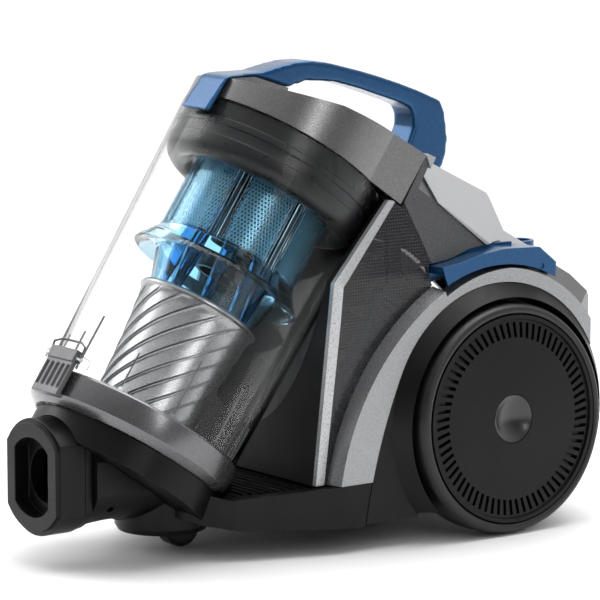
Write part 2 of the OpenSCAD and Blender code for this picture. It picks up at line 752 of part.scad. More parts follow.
module wheel_disc_left() color("#232427") wheel_disc();
module wheel_disc_right() color("#232427") mirror([1, 0, 0]) wheel_disc();
module tyre() axle_frame() rotate_extrude() {
  difference() {
    union() {
      translate([rim_r, -tyre_w / 2 + tyre_edge]) square([tyre_ring, tyre_w - 2 * tyre_edge]);
      translate([rim_r, -tyre_w / 2]) square([tyre_ring - tyre_edge, tyre_w]);
      for (s = [-1, 1]) translate([wheel_r - tyre_edge, s * (tyre_w / 2 - tyre_edge)])
        circle(r = tyre_edge, $fn = 48);
    }
    translate([rim_r - 30 - eps, -tyre_w]) square([30, 2 * tyre_w]);
    translate([rim_r - eps, tyre_w / 2 - 3]) square([1.6, 4]);
  }
}
module tyre_left() color("#2f3033") tyre();
module tyre_right() color("#2f3033") mirror([1, 0, 0]) tyre();
module hub_cap() axle_frame() difference() {
  translate([0, 0, tyre_w / 2 - 8]) cylinder(r = dimple_r, h = 6.6);
  translate([0, 0, tyre_w / 2 + 20]) sphere(r = 27, $fn = 96);
}
module hub_cap_left() color("#1d1e20") hub_cap();
module hub_cap_right() color("#1d1e20") mirror([1, 0, 0]) hub_cap();

// ---- Caster ----
fork_w = caster_w / 2 + 0.8;
module caster_frame() translate([0, -caster_y, 0]) children();
module caster_fork() color("#2c2d30") caster_frame() {
  difference() {
    union() {
      translate([0, 0, caster_d + 0.8]) cylinder(r = 20, h = 1.6);
      for (s = [-1, 1]) hull() {
        translate([s * (fork_w + 1.6) - 1.6, -4, caster_d + 0.8]) cube([3.2, 18, 1]);
        translate([s * (fork_w + 1.6) - 1.6, caster_trail, caster_r]) rotate([0, 90, 0])
          cylinder(r = 5, h = 3.2, $fn = 32);
      }
      translate([0, 0, caster_d + 1]) cylinder(r = pivot_d / 2, h = 8.6);
    }
    translate([0, caster_trail, caster_r]) rotate([0, 90, 0]) cylinder(r = 2, h = 80, center = true);
  }
}
module caster_axle() color("#a6a9ad") caster_frame()
  translate([-fork_w - 3.2, caster_trail, caster_r]) rotate([0, 90, 0]) cylinder(r = 2,
    h = 2 * fork_w + 6.4);
module caster_wheel() color("#343538") caster_frame()
  translate([-caster_w / 2, caster_trail, caster_r]) rotate([0, 90, 0]) difference() {
    rotate_extrude() polygon([
      [2 + run_fit, 0], [caster_r - 2, 0], [caster_r, 2], [caster_r, caster_w - 2], [caster_r - 2,
        caster_w],
      [2 + run_fit, caster_w]
    ]);
  }

// ---- Pedals and knob ----

pedal_x0 = side_x - 9;
pedal_x1 = arch_top_x + 1;
pedal_in_r = arch_out_r - 0.4;
pedal_wall = 2.5;
pedal_pin = [axle_y + 40, axle_z + 108];
pin_r = 2;
module pedal_side() difference() {
  polygon([
    [axle_y - 54, axle_z + 115], [axle_y - 38, axle_z + 117], [axle_y - 18, axle_z + 121.5],
    [axle_y + 5, axle_z + 124], [axle_y + 38, axle_z + 122.5], [axle_y + 54, axle_z + 110],
    [axle_y + 53, axle_z + 94], [axle_y, axle_z + 90], [axle_y - 48, axle_z + 100]
  ]);
  translate([axle_y, axle_z]) circle(r = pedal_in_r);
}
module pedal_rib_side() polygon([
  [axle_y - 36, axle_z + 117], [axle_y - 16, axle_z + 123], [axle_y + 8, axle_z + 126],
  [axle_y + 26, axle_z + 125.6], [axle_y + 26, axle_z + 118], [axle_y - 30, axle_z + 114]
]);
// Room that the pedal needs from rest to fully pressed
pedal_gap = 0.5;
press_limit = pedal_angle + 0.3;
pressed_axle = [
  pedal_pin[0] + (axle_y - pedal_pin[0]) * cos(press_limit) - (axle_z - pedal_pin[1]) * sin(press_limit),
  pedal_pin[1] + (axle_y - pedal_pin[0]) * sin(press_limit) + (axle_z - pedal_pin[1]) * cos(press_limit)
];
module pedal_well_side() difference() {
  polygon([
    [axle_y - 54.4 - pedal_gap, axle_z + 115.4 + pedal_gap], [axle_y - 38, axle_z + 117.1 + pedal_gap],
    [axle_y - 18, axle_z + 121.6 + pedal_gap], [axle_y + 5, axle_z + 124.2 + pedal_gap],
    [axle_y + 38.5, axle_z + 122.8 + pedal_gap], [axle_y + 54.2 + pedal_gap, axle_z + 111.4 + pedal_gap],
    [axle_y + 53.4 + pedal_gap, axle_z + 92], [axle_y, axle_z + 80], [axle_y - 47.5, axle_z + 90],
    [axle_y - 54.4 - pedal_gap, axle_z + 106]
  ]);
  intersection() {
    translate([axle_y, axle_z]) circle(r = pedal_in_r - pedal_gap);
    translate(pressed_axle) circle(r = pedal_in_r - pedal_gap);
  }
}
module pedal_well() {
  side(pedal_x0 - pedal_gap, pedal_x1 + 10) pedal_well_side();
  side(pedal_x0 - pedal_gap, pedal_x0 + 8) offset(delta = 0.6) pedal_rib_side();
}
module pedal() difference() {
  union() {
    side(pedal_x0, pedal_x1) pedal_side();
    // raised rib along the inner edge
    side(pedal_x0 + 2, pedal_x0 + 5) pedal_rib_side();
  }
  translate([pedal_x0 + pedal_wall, 0, 0]) intersection() {
    side(0, pedal_x1 - pedal_x0 - 2 * pedal_wall) offset(delta = -pedal_wall) polygon([
      [axle_y - 54, axle_z + 115], [axle_y - 38, axle_z + 117], [axle_y - 18, axle_z + 121.5],
      [axle_y + 5, axle_z + 124], [axle_y + 28, axle_z + 122.5], [axle_y + 28, axle_z + 60],
      [axle_y - 54, axle_z + 60]
    ]);
    translate([-1, -big, -big]) cube(3 * big);
  }
  translate([0, pedal_pin[0], pedal_pin[1]]) rotate([0, 90, 0]) cylinder(r = pin_r + run_fit, h = big);
}
module pedal_left() color("#2f74a6") pedal();
module pedal_right() color("#2f74a6") mirror([1, 0, 0]) pedal();
module pin_holes() both() {
  translate([0, pedal_pin[0], pedal_pin[1]]) rotate([0, 90, 0]) cylinder(r = pin_r + 0.4, h = big);
  translate([pedal_x0 - 7.4, pedal_pin[0] - 6.4, 0]) cube([7, 12.8, pedal_pin[1] + 7]);
}
// Ear of the arch panel that holds the inner end of the pedal pin
module pedal_ear() translate([pedal_x0 - 7, pedal_pin[0] - 6, axle_z + well_r - 16])
  cube([6, 12, pedal_pin[1] - axle_z - well_r + 21]);
module pedal_pins() color("#a6a9ad") both() translate([pedal_x0 - 7, pedal_pin[0], pedal_pin[1]])
  rotate([0, 90, 0]) cylinder(r = pin_r, h = pedal_x1 - pedal_x0 + 6);
knob_x = 30;
knob_y = rear_y - 40;
knob_z = axle_z + 103;
module knob_frame() translate([knob_x, knob_y, knob_z]) children();
module knob_cut() knob_frame() {
  translate([0, 0, -30]) cylinder(r = 5 + run_fit, h = 60);
  translate([0, 0, 0]) cylinder(r = knob_d / 2 + 1, h = 60);
}
module suction_knob() color("#2f74a6") knob_frame() {
  difference() {
    translate([0, 0, 0.4]) cylinder(r = knob_d / 2, h = 13);
    translate([0, 0, 10]) cylinder(r = knob_d / 2 - 3, h = 5);
  }
  translate([0, 0, -12]) cylinder(r = 5, h = 14);
}

// ---- Dust bin ----
bin_ear_yl = bin_r + 3.6;
bin_ear_zl = 10;
module clear_bin() color("#dfe9ee", 0.3) bin_frame() difference() {
  union() {
    cylinder(r1 = bin_r, r2 = bin_top_r, h = bin_h);
    // ears of the latch pin and of the floor hinge
    for (s = [-1, 1]) {
      translate([s * (latch_x + 2.6) - 2, -latch_yl - 3, latch_zl - 3.6]) cube([4,
        latch_yl - bin_r + 12, 7.2]);
      translate([s * 13 - 3, bin_r - 6, 0]) cube([6, 10, 16]);
    }
  }
  translate([0, 0, -eps]) cylinder(r1 = bin_r - bin_t, r2 = bin_top_r - bin_t, h = bin_h + 2 * eps);
  translate([-big / 2, -latch_yl, latch_zl]) rotate([0, 90, 0]) cylinder(r = latch_pin_r, h = big);
  translate([-big / 2, bin_ear_yl, bin_ear_zl]) rotate([0, 90, 0]) cylinder(r = hinge_r, h = big);
}
hinge_r = 1.6;
module bin_floor() color("#9b9ea2") bin_frame() difference() {
  union() {
    translate([0, 0, -ring_h]) cylinder(r = ring_r, h = ring_h - 0.4);
    translate([0, 0, -ring_h - 7]) cylinder(r1 = ring_r - 7, r2 = ring_r, h = 7);
    translate([-9.6, bin_r + 0.5, -4]) cube([19.2, 7, bin_ear_zl + 8]);
  }
  translate([0, 0, -ring_h + 6]) cylinder(r = bin_r - 5, h = ring_h);
  translate([0, 0, -0.4]) cylinder(r1 = bin_r + 0.3, r2 = bin_r + 0.9, h = 24);
  translate([0, 0, -60]) cylinder(r = duct_r + 0.3, h = 80);
  translate([0, 0, -ring_h - 7 - eps]) cylinder(r = duct_r + duct_t + 4, h = 6);
  translate([-20, bin_ear_yl, bin_ear_zl]) rotate([0, 90, 0]) cylinder(r = hinge_r + run_fit, h = 40);
}
module floor_seal() color("#161618") bin_frame() translate([0, 0, -ring_h + 6.2])
  tube(bin_r - 5.4, bin_r - 9.4, 8);
module floor_hinge_pin() color("#a6a9ad") bin_frame() translate([-17, bin_ear_yl, bin_ear_zl])
  rotate([0, 90, 0])
  cylinder(r = hinge_r, h = 34);
latch_x = 16;
latch_yl = ring_r + 3.6;
latch_zl = 7;
module bin_latch() color("#7d8084") bin_frame() difference() {
  union() {
    translate([-latch_x, -latch_yl - 3.4, latch_zl - 3]) cube([2 * latch_x, 4.6, 9]);
    translate([-latch_x, -latch_yl - 2.2, -21]) cube([2 * latch_x, 3.6, 30]);
    translate([-latch_x, -latch_yl - 2.2, -22.4]) cube([2 * latch_x, 6, 3]);
    translate([-latch_x, -latch_yl, latch_zl]) rotate([0, 90, 0]) cylinder(r = 3.4, h = 2 * latch_x);
  }
  translate([-latch_x - 1, -latch_yl, latch_zl]) rotate([0, 90, 0]) cylinder(r = latch_pin_r + run_fit,
    h = 2 * latch_x + 2);
  for (i = [-2:2]) translate([i * 6.4 - 1.6, -latch_yl - 5, -17]) cube([3.2, 4.4, 18]);
}
latch_pin_r = 1.6;
module latch_pin() color("#a6a9ad") bin_frame() translate([-latch_x - 5, -latch_yl, latch_zl])
  rotate([0, 90, 0]) cylinder(r = latch_pin_r, h = 2 * latch_x + 10);
module cyclone_cone() color("#b3b6ba") bin_frame() difference() {
  rotate_extrude() polygon([
    [duct_r + 1, 6 - ring_h], [38, 6 - ring_h], [38.4, 30], [40.6, 60], [cone_r, cone_h],
    [cone_r - 3, cone_h], [37.6, 60], [35.4, 30], [35, 4 - ring_h + 6], [duct_r + 1, 4 - ring_h + 6]
  ]);
}
skirt_h = 16;
bowl_h = 34.4;
bowl_z = bin_h - bowl_h;
skirt_z = bowl_z - mesh_h - skirt_h;
skirt_foot_r = cone_r - 6;
skirt_neck_r = mesh_r - 4.4;
skirt_t = 2.4;
module shroud_skirt() color("#4f9fcc", 0.5) bin_frame() rotate_extrude() polygon([
  [skirt_foot_r - skirt_t, cone_h], [cone_r - 0.8, cone_h], [cone_r - 0.8, cone_h + 1.2],
    [skirt_foot_r, cone_h + 1.2],
  [skirt_neck_r, skirt_z + 5.4], [skirt_r - 2, skirt_z - 1], [skirt_r, skirt_z], [skirt_r - 3, skirt_z + 4],
  [mesh_r, skirt_z + skirt_h], [mesh_r - 3, skirt_z + skirt_h], [skirt_neck_r - skirt_t, skirt_z + 8]
]);
module mesh_shroud() color("#6fb4d8", 0.7) bin_frame() translate([0, 0, skirt_z + skirt_h])
  tube(mesh_r, mesh_r - 2, mesh_h);
// Half section of the bowl above the mesh: its floor hangs lowest in a ring outside the mesh
bowl_low_r = (mesh_r + bin_top_r) / 2;
bowl_sag = 8;
bowl_wall_r = bin_top_r - bin_t - 1.2;
module bowl_profile(t) polygon([
  [0, bowl_z + t], [mesh_r + 1.5, bowl_z + t], [bowl_low_r - 7, bowl_z - bowl_sag + 2.5 + t],
  [bowl_low_r, bowl_z - bowl_sag + t], [bowl_low_r + 6 - 0.7 * t, bowl_z - bowl_sag + 2.5 + t],
  [bowl_wall_r - 0.9 - t, bowl_z - 0.5 + t / 2], [bowl_wall_r - 0.2 - t, bowl_z + bowl_sag],
  [bowl_wall_r - t, bin_h - 8], [bowl_wall_r - t, bin_h - 0.4], [0, bin_h - 0.4]
]);
module filter_housing() color("#3a3c3f") bin_frame() difference() {
  rotate_extrude() bowl_profile(0);
  difference() {
    rotate_extrude() bowl_profile(2.4);
    translate([0, 0, bin_h - 60]) cylinder(r = 16, h = 40);
  }
  translate([0, 0, bin_h - 5]) cylinder(r = 66, h = 20);
  translate([0, 0, bin_h - 60]) cylinder(r = 13, h = 60);
}
module bin_filter() color("#d8d3c4") bin_frame() translate([0, 0, bin_h - 4.6]) cylinder(r = 65.4,
  h = 4 + cap_front_h - 4);
module cap_outline(r, flat, end) {
  circle(r = r);
  translate([-flat, 0]) square([2 * flat, end]);
}
cap_front_h = 15;
cap_mid_h = 34;
module cap_top_cut() side(-big / 2, big / 2) polygon([
  top_point(-120, cap_front_h - 12), top_point(-82, cap_front_h), top_point(-52, 24),
  top_point(-25, cap_mid_h - 2), top_point(25, cap_mid_h + 5), top_point(seam_yl, cap_h),
  top_point(seam_yl + 0.01, 200), top_point(-120, 200)
]);
module bin_cap() color("#7f8286") difference() {
  union() {
    difference() {
      bin_frame() translate([0, 0, bin_h]) linear_extrude(cap_h + 5)
        cap_outline(cap_r, cap_flat_x, seam_yl);
      cap_top_cut();
    }
    // pad under the front of the handle
    side(-grip_w + 1, grip_w - 1) polygon([
      top_point(-78, 8), top_point(-81, 14.8), top_point(-60, 28.8), top_point(-30, 37.8),
        top_point(-27, 24)
    ]);
    bin_frame() translate([-tongue_w, seam_yl - 12, tongue_floor]) cube([2 * tongue_w,
      tongue_end - seam_yl + 12, 12]);
  }
  // hollow above the bin filter
  bin_frame() translate([0, 0, bin_h - eps]) linear_extrude(cap_front_h - 4)
    cap_outline(cap_r - 3, cap_flat_x - 3, seam_yl - 3);
  bin_frame() translate([0, 16, bin_h]) cylinder(r = 40, h = cap_mid_h - 6);
}

// ---- Handle ----
// Point of the bin frame measured up from the top edge of the clear bin, as (y, z)
function top_point(yl, dz) = bin_point(yl, bin_h + dz);
// Rectangle of the bin frame in the side view, heights measured from the top edge of the bin
module bin_view(yl0, dz0, yl1, dz1) polygon([
  top_point(yl0, dz0), top_point(yl1, dz0), top_point(yl1, dz1), top_point(yl0, dz1)
]);
button_yl = 103;
button_dz = 99;
button_lean = 20;
module button_frame() bin_frame() translate([0, button_yl, bin_h + button_dz])
  rotate([-button_lean, 0, 0]) children();
module button_bore() button_frame() {
  translate([0, 0, -16]) cylinder(r = button_d / 2 + 0.4, h = 40);
  translate([0, 0, -24]) cylinder(r = 4, h = 20);
}
module handle_hole() polygon([
  top_point(-26, 30), top_point(-26, 42), top_point(-20, 50), top_point(-7, 57.5), top_point(4, 63.5),
  top_point(27, 71.5), top_point(46, 77), top_point(65, 82.5), top_point(75, 84.5), top_point(81, 81),
  top_point(86, 74), top_point(88, 64), top_point(88, leg_foot - 5)
]);
module handle_outline() difference() {
  polygon([
    top_point(-87, -14), top_point(-84, 15), top_point(-71, 25), top_point(-58, 34), top_point(-46, 46.5),
    top_point(-36, 56), top_point(-24, 64.5), top_point(-10, 71.5), top_point(18, 82), top_point(36, 88),
    top_point(56, 94), top_point(75, 99), top_point(96, 103.5), top_point(104, 99), top_point(112, 91),
    top_point(119, 83), top_point(124, 73), top_point(126, 65), top_point(126, leg_foot),
    top_point(80, leg_foot), top_point(80, cap_h + 3), top_point(-26, 44), top_point(-30, 38),
    top_point(-60, 29), top_point(-81.8, 14.6), top_point(-82, -14)
  ]);
  handle_hole();
}
leg_foot = tongue_floor - bin_h + 12;
clamp_w = 16;
module handle() color("#2f74a6") difference() {
  union() {
    side(-grip_w, grip_w) handle_outline();
    side(-clamp_w, clamp_w) intersection() {
      handle_outline();
      bin_view(-100, -20, -71, 90);
    }
  }
  button_bore();
}
module release_button() color("#d5d7da") button_frame() {
  translate([0, 0, -9]) cylinder(r = button_d / 2 - 1.4, h = 11);
  translate([0, 0, -9]) cylinder(r = button_d / 2, h = 6);
  translate([0, 0, -20]) cylinder(r = 2.6, h = 12);
}
screw_at = [[56, -42], [62, 24], [50, rear_y - 34]];
module cover_screws() color("#8d9094") both() for (p = screw_at) translate([p[0], p[1], base_z + 4.4]) {
  cylinder(r = 4, h = 2.4);
  cylinder(r = 2, h = 16);
}
module screw_holes() both() for (p = screw_at) translate([p[0], p[1], 0]) {
  cylinder(r = 4.3, h = base_z + 6.9);
  cylinder(r = 2.02, h = 60);
}
module screw_posts() both() for (p = screw_at) translate([p[0], p[1], base_z + 3]) cylinder(r = 6.5,
  h = sill_z - base_z - 8);

chassis_base();
front_cover();
snout_duct();
inlet_collar();
inlet_seal();
air_duct();
ribbed_deck();
arch_panel_left();
arch_panel_right();
arch_trim_left();
arch_trim_right();
side_strip_left();
side_strip_right();
side_window_left();
side_window_right();
exhaust_filter_left();
exhaust_filter_right();
upper_shell();
top_panel();
bin_cradle();
rear_grille();
motor_housing();
motor_can();
motor_mount_front();
motor_mount_rear();
fan_wheel();
circuit_board();
cord_reel();
reel_axle();
cord_gland();
axle_left();
axle_right();
wheel_disc_left();
wheel_disc_right();
tyre_left();
tyre_right();
hub_cap_left();
hub_cap_right();
caster_fork();
caster_axle();
caster_wheel();
pedal_left();
pedal_right();
pedal_pins();
suction_knob();
clear_bin();
bin_floor();
floor_seal();
floor_hinge_pin();
bin_latch();
latch_pin();
cyclone_cone();
shroud_skirt();
mesh_shroud();
filter_housing();
bin_filter();
bin_cap();
handle();
release_button();
cover_screws();
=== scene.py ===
# Looks of a canister vacuum cleaner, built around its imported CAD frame. Shapes are in millimetres.
import json
import math

import bmesh
import bpy
from mathutils import Matrix, Vector


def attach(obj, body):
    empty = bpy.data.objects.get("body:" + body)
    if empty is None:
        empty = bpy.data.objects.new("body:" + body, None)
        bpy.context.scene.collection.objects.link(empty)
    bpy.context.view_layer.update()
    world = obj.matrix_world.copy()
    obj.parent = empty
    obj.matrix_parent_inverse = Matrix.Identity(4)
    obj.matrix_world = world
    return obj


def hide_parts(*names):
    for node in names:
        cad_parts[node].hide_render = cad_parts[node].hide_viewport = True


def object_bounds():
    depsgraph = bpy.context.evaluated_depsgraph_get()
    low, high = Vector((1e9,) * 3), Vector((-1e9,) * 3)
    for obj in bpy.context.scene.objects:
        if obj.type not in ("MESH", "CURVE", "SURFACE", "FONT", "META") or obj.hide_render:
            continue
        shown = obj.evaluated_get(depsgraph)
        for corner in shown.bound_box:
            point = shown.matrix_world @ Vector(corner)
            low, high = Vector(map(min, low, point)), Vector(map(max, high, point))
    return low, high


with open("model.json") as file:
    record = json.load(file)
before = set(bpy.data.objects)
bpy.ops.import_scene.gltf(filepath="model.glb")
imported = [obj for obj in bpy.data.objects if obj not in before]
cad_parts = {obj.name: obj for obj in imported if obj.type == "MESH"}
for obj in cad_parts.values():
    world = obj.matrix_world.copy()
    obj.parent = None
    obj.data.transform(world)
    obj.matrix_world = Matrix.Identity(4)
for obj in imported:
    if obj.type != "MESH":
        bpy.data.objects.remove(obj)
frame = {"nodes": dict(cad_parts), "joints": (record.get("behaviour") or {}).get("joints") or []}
cad_lo, cad_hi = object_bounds()
MM = 0.001
scene = bpy.context.scene


# ---------------------------------------------------------------- materials
def material(name):
    m = bpy.data.materials.new(name)
    m.use_nodes = True
    nt = m.node_tree
    nt.nodes.clear()
    out = nt.nodes.new("ShaderNodeOutputMaterial")
    b = nt.nodes.new("ShaderNodeBsdfPrincipled")
    nt.links.new(b.outputs[0], out.inputs[0])
    return m, nt, b


def node(nt, kind, **values):
    n = nt.nodes.new(kind)
    for k, v in values.items():
        if k in n.inputs:
            n.inputs[k].default_value = v
        else:
            setattr(n, k, v)
    return n


def position(nt):
    return nt.nodes.new("ShaderNodeTexCoord").outputs["Object"]


def noise(nt, scale, detail=2.0, rough=0.5, vector=None):
    n = node(nt, "ShaderNodeTexNoise", Scale=scale, Detail=detail, Roughness=rough)
    nt.links.new(vector or position(nt), n.inputs["Vector"])
    return n.outputs["Fac"] if "Fac" in n.outputs else n.outputs[0]


def spread(nt, source, low, high, a=0.3, b=0.7):
    n = nt.nodes.new("ShaderNodeMapRange")
    n.inputs["From Min"].default_value, n.inputs["From Max"].default_value = a, b
    n.inputs["To Min"].default_value, n.inputs["To Max"].default_value = low, high
    nt.links.new(source, n.inputs["Value"])
    return n.outputs["Result"]


def tint(nt, b, factor, low, high):
    """Runs the base colour from low to high as factor goes from 0 to 1."""
    n = nt.nodes.new("ShaderNodeMix")
    n.data_type = "RGBA"
    nt.links.new(factor, n.inputs["Factor"])
    n.inputs[6].default_value = (*low, 1)
    n.inputs[7].default_value = (*high, 1)
    nt.links.new(n.outputs[2], b.inputs["Base Color"])


def shades(colour, share):
    """A darker and a lighter shade of colour."""
    return tuple(c * (1 - share) for c in colour), tuple(min(1.0, c * (1 + share)) for c in colour)


def uneven_gloss(nt, b, source, low, high, *limits):
    nt.links.new(spread(nt, source, low, high, *limits), b.inputs["Roughness"])


def bump(nt, b, height, strength, distance):
    n = node(nt, "ShaderNodeBump", Strength=strength, Distance=distance)
    nt.links.new(height, n.inputs["Height"])
    nt.links.new(n.outputs["Normal"], b.inputs["Normal"])


DRIFT_SCALE, SMUDGE_SCALE, GRAIN_SCALE = 14.0, 60.0, 2600.0


def plastic(name, colour, rough=0.4, vary=0.15, grain_depth=0.00004, wear=0.06, coat=0.0, metallic=0.0,
            gloss=0.5):
    """Moulded plastic: a fine spark-eroded grain, slow colour drift and slightly uneven gloss."""
    m, nt, b = material(name)
    drift = noise(nt, DRIFT_SCALE, 3)
    tint(nt, b, spread(nt, drift, 0, 1), *shades(colour, vary))
    smudge = noise(nt, SMUDGE_SCALE, 4, 0.6)
    uneven_gloss(nt, b, smudge, rough - wear, rough + wear)
    bump(nt, b, noise(nt, GRAIN_SCALE, 2), 0.35, grain_depth)
    b.inputs["Metallic"].default_value = metallic
    b.inputs["Specular IOR Level"].default_value = gloss
    if coat:
        b.inputs["Coat Weight"].default_value = coat
        b.inputs["Coat Roughness"].default_value = 0.12
    return m


def lacquer(name, colour, rough=0.32, metallic=0.75, flake=0.35, flake_scale=2400.0, coat=0.4):
    """Metallic paint: tiny flakes, each a little lighter or darker and tilted, below a clear coat."""
    m, nt, b = material(name)
    v = node(nt, "ShaderNodeTexVoronoi", Scale=flake_scale)
    nt.links.new(position(nt), v.inputs["Vector"])
    part = nt.nodes.new("ShaderNodeSeparateColor")
    nt.links.new(v.outputs["Color"], part.inputs[0])
    tint(nt, b, part.outputs[0], *shades(colour, flake))
    uneven_gloss(nt, b, part.outputs[1], rough - 0.05, rough + 0.07, 0, 1)
    bump(nt, b, part.outputs[2], 0.08, 0.00002)
    b.inputs["Metallic"].default_value = metallic
    b.inputs["Coat Weight"].default_value = coat
    b.inputs["Coat Roughness"].default_value = 0.1
    return m


def clear(name, colour, edge_shade, rough=0.02, ior=1.47, streak=0.02):
    """Clear or tinted moulding that light passes through, darker where it is seen edge on: a painted shade
    along its outlines, and on the tinted pieces a deeper tint.
    """
    m, nt, b = material(name)
    rim = node(nt, "ShaderNodeLayerWeight", Blend=0.5)
    # painted shade: the colour darkens to the second colour where the surface is seen edge on, a dark
    # outline painted along it
    tint(nt, b, spread(nt, rim.outputs["Facing"], 0, 1, 0.72, 0.92), colour, edge_shade)
    b.inputs["Transmission Weight"].default_value = 1.0
    b.inputs["IOR"].default_value = ior
    uneven_gloss(nt, b, noise(nt, 35.0, 4, 0.6), rough, rough + streak)
    bump(nt, b, noise(nt, 900.0, 2), 0.02, 0.00002)
    return m


def metal(name, colour, rough=0.25):
    """Bare metal with a fine cloudy finish."""
    m, nt, b = material(name)
    wave = noise(nt, 900.0, 2)
    tint(nt, b, wave, tuple(c * 0.85 for c in colour), colour)
    uneven_gloss(nt, b, noise(nt, 120.0, 3), rough - 0.05, rough + 0.08)
    bump(nt, b, wave, 0.15, 0.00003)
    b.inputs["Metallic"].default_value = 1.0
    return m


def rubber(name, colour, rough=0.55):
    """Matt rubber with a little dust, lighter and rougher where it lies."""
    m, nt, b = material(name)
    dust = noise(nt, 90.0, 5, 0.65)
    tint(nt, b, spread(nt, dust, 0, 1), colour, tuple(c * 1.5 for c in colour))
    uneven_gloss(nt, b, dust, rough - 0.07, rough + 0.1)
    bump(nt, b, noise(nt, 1800.0, 3), 0.3, 0.00005)
    return m


def smoked(name):
    """Smoked clear cover with a fine grid of printed dots, laid out over its side face."""
    m, nt, b = material(name)
    axes = nt.nodes.new("ShaderNodeSeparateXYZ")
    flat = nt.nodes.new("ShaderNodeCombineXYZ")
    nt.links.new(position(nt), axes.inputs[0])
    nt.links.new(axes.outputs["Y"], flat.inputs["X"])
    nt.links.new(axes.outputs["Z"], flat.inputs["Y"])
    v = node(nt, "ShaderNodeTexVoronoi", voronoi_dimensions="2D", Scale=430.0, Randomness=0.0)
    nt.links.new(flat.outputs[0], v.inputs["Vector"])
    dots = spread(nt, v.outputs["Distance"], 1, 0, 0.22, 0.34)
    tint(nt, b, dots, (0.014, 0.0145, 0.016), (0.050, 0.051, 0.055))
    nt.links.new(spread(nt, dots, 0.62, 0.9, 0, 1), b.inputs["Alpha"])
    uneven_gloss(nt, b, noise(nt, 50.0, 3), 0.12, 0.2)
    b.inputs["Specular IOR Level"].default_value = 0.5
    return m


BLACK = plastic("black_plastic", (0.0036, 0.0037, 0.0041), rough=0.36, vary=0.12, gloss=0.2)
BLACK_DEEP = plastic("black_deep", (0.004, 0.004, 0.0045), rough=0.5, vary=0.1, gloss=0.2)
WHEEL = plastic("wheel_plastic", (0.0030, 0.0031, 0.0034), rough=0.32, vary=0.1, grain_depth=0.00002,
                gloss=0.2)
TYRE = rubber("tyre_rubber", (0.0034, 0.0035, 0.0038), 0.42)
SEAL = rubber("seal_rubber", (0.012, 0.012, 0.012), 0.6)
SILVER = lacquer("silver_trim", (0.30, 0.303, 0.31), rough=0.3, metallic=0.75, flake=0.12, coat=0.15)
SILVER_LIGHT = lacquer("silver_strip", (0.46, 0.465, 0.475), rough=0.3, metallic=0.6, flake=0.08, coat=0.15)
GREY = lacquer("grey_metallic", (0.105, 0.106, 0.110), rough=0.36, metallic=0.7, flake=0.3, coat=0.1)
CAP_GREY = lacquer("cap_metallic", (0.165, 0.165, 0.168), rough=0.28, metallic=0.85, flake=0.22, coat=0.15)
PALE = lacquer("pale_silver", (0.40, 0.402, 0.41), rough=0.36, metallic=0.6, flake=0.1, coat=0.1)
BLUE = lacquer("blue_metallic", (0.002, 0.060, 0.165), rough=0.26, metallic=0.6, flake=0.12, coat=0.25)
RING = lacquer("floor_grey", (0.15, 0.151, 0.156), rough=0.24, metallic=0.8, flake=0.04, coat=0.2)
LATCH = plastic("latch_grey", (0.085, 0.086, 0.09), rough=0.36, metallic=0.3)
CONE = lacquer("cone_silver", (0.33, 0.333, 0.34), rough=0.3, metallic=0.85, flake=0.03, flake_scale=3200,
               coat=0.0)
BOWL = plastic("dark_grey", (0.011, 0.0115, 0.0125), rough=0.3, vary=0.15, gloss=0.3)
FILTER_BLUE = plastic("filter_blue", (0.01, 0.10, 0.24), rough=0.4)
FELT = rubber("filter_white", (0.60, 0.58, 0.52), 0.85)
STEEL = metal("steel", (0.45, 0.46, 0.48), 0.28)
ALLOY = metal("fan_alloy", (0.68, 0.69, 0.71), 0.32)
CHROME = metal("bright_chrome", (0.85, 0.86, 0.88), 0.1)
BOARD = plastic("board_green", (0.02, 0.14, 0.06), rough=0.35)
# clear pieces: the second colour of each is painted shade, laid along their outlines where they are seen
# edge on
CLEAR = clear("clear_plastic", (0.985, 0.99, 0.99), (0.02, 0.02, 0.024), rough=0.0, ior=1.1, streak=0.012)
BLUE_CLEAR = clear("blue_clear", (0.50, 0.77, 0.91), (0.02, 0.12, 0.22), rough=0.03, ior=1.3)
BLUE_DEEP = clear("blue_cones", (0.30, 0.60, 0.88), (0.01, 0.08, 0.26), rough=0.06, ior=1.45)
MESH_BLUE = plastic("blue_mesh", (0.10, 0.27, 0.38), rough=0.2, coat=0.3, vary=0.25, metallic=0.4)
SMOKE = smoked("smoke_clear")
HUB = plastic("hub_gloss", (0.006, 0.0061, 0.0065), rough=0.24, vary=0.1, gloss=0.7)
RIB = plastic("clear_rib", (0.10, 0.105, 0.11), rough=0.2)


# ---------------------------------------------------------------- shapes
def shade(mesh, angle=30.0):
    mesh.polygons.foreach_set("use_smooth", [True] * len(mesh.polygons))
    mesh.set_sharp_from_angle(angle=math.radians(angle))


def paint(obj, mat):
    obj.data.materials.clear()
    obj.data.materials.append(mat)


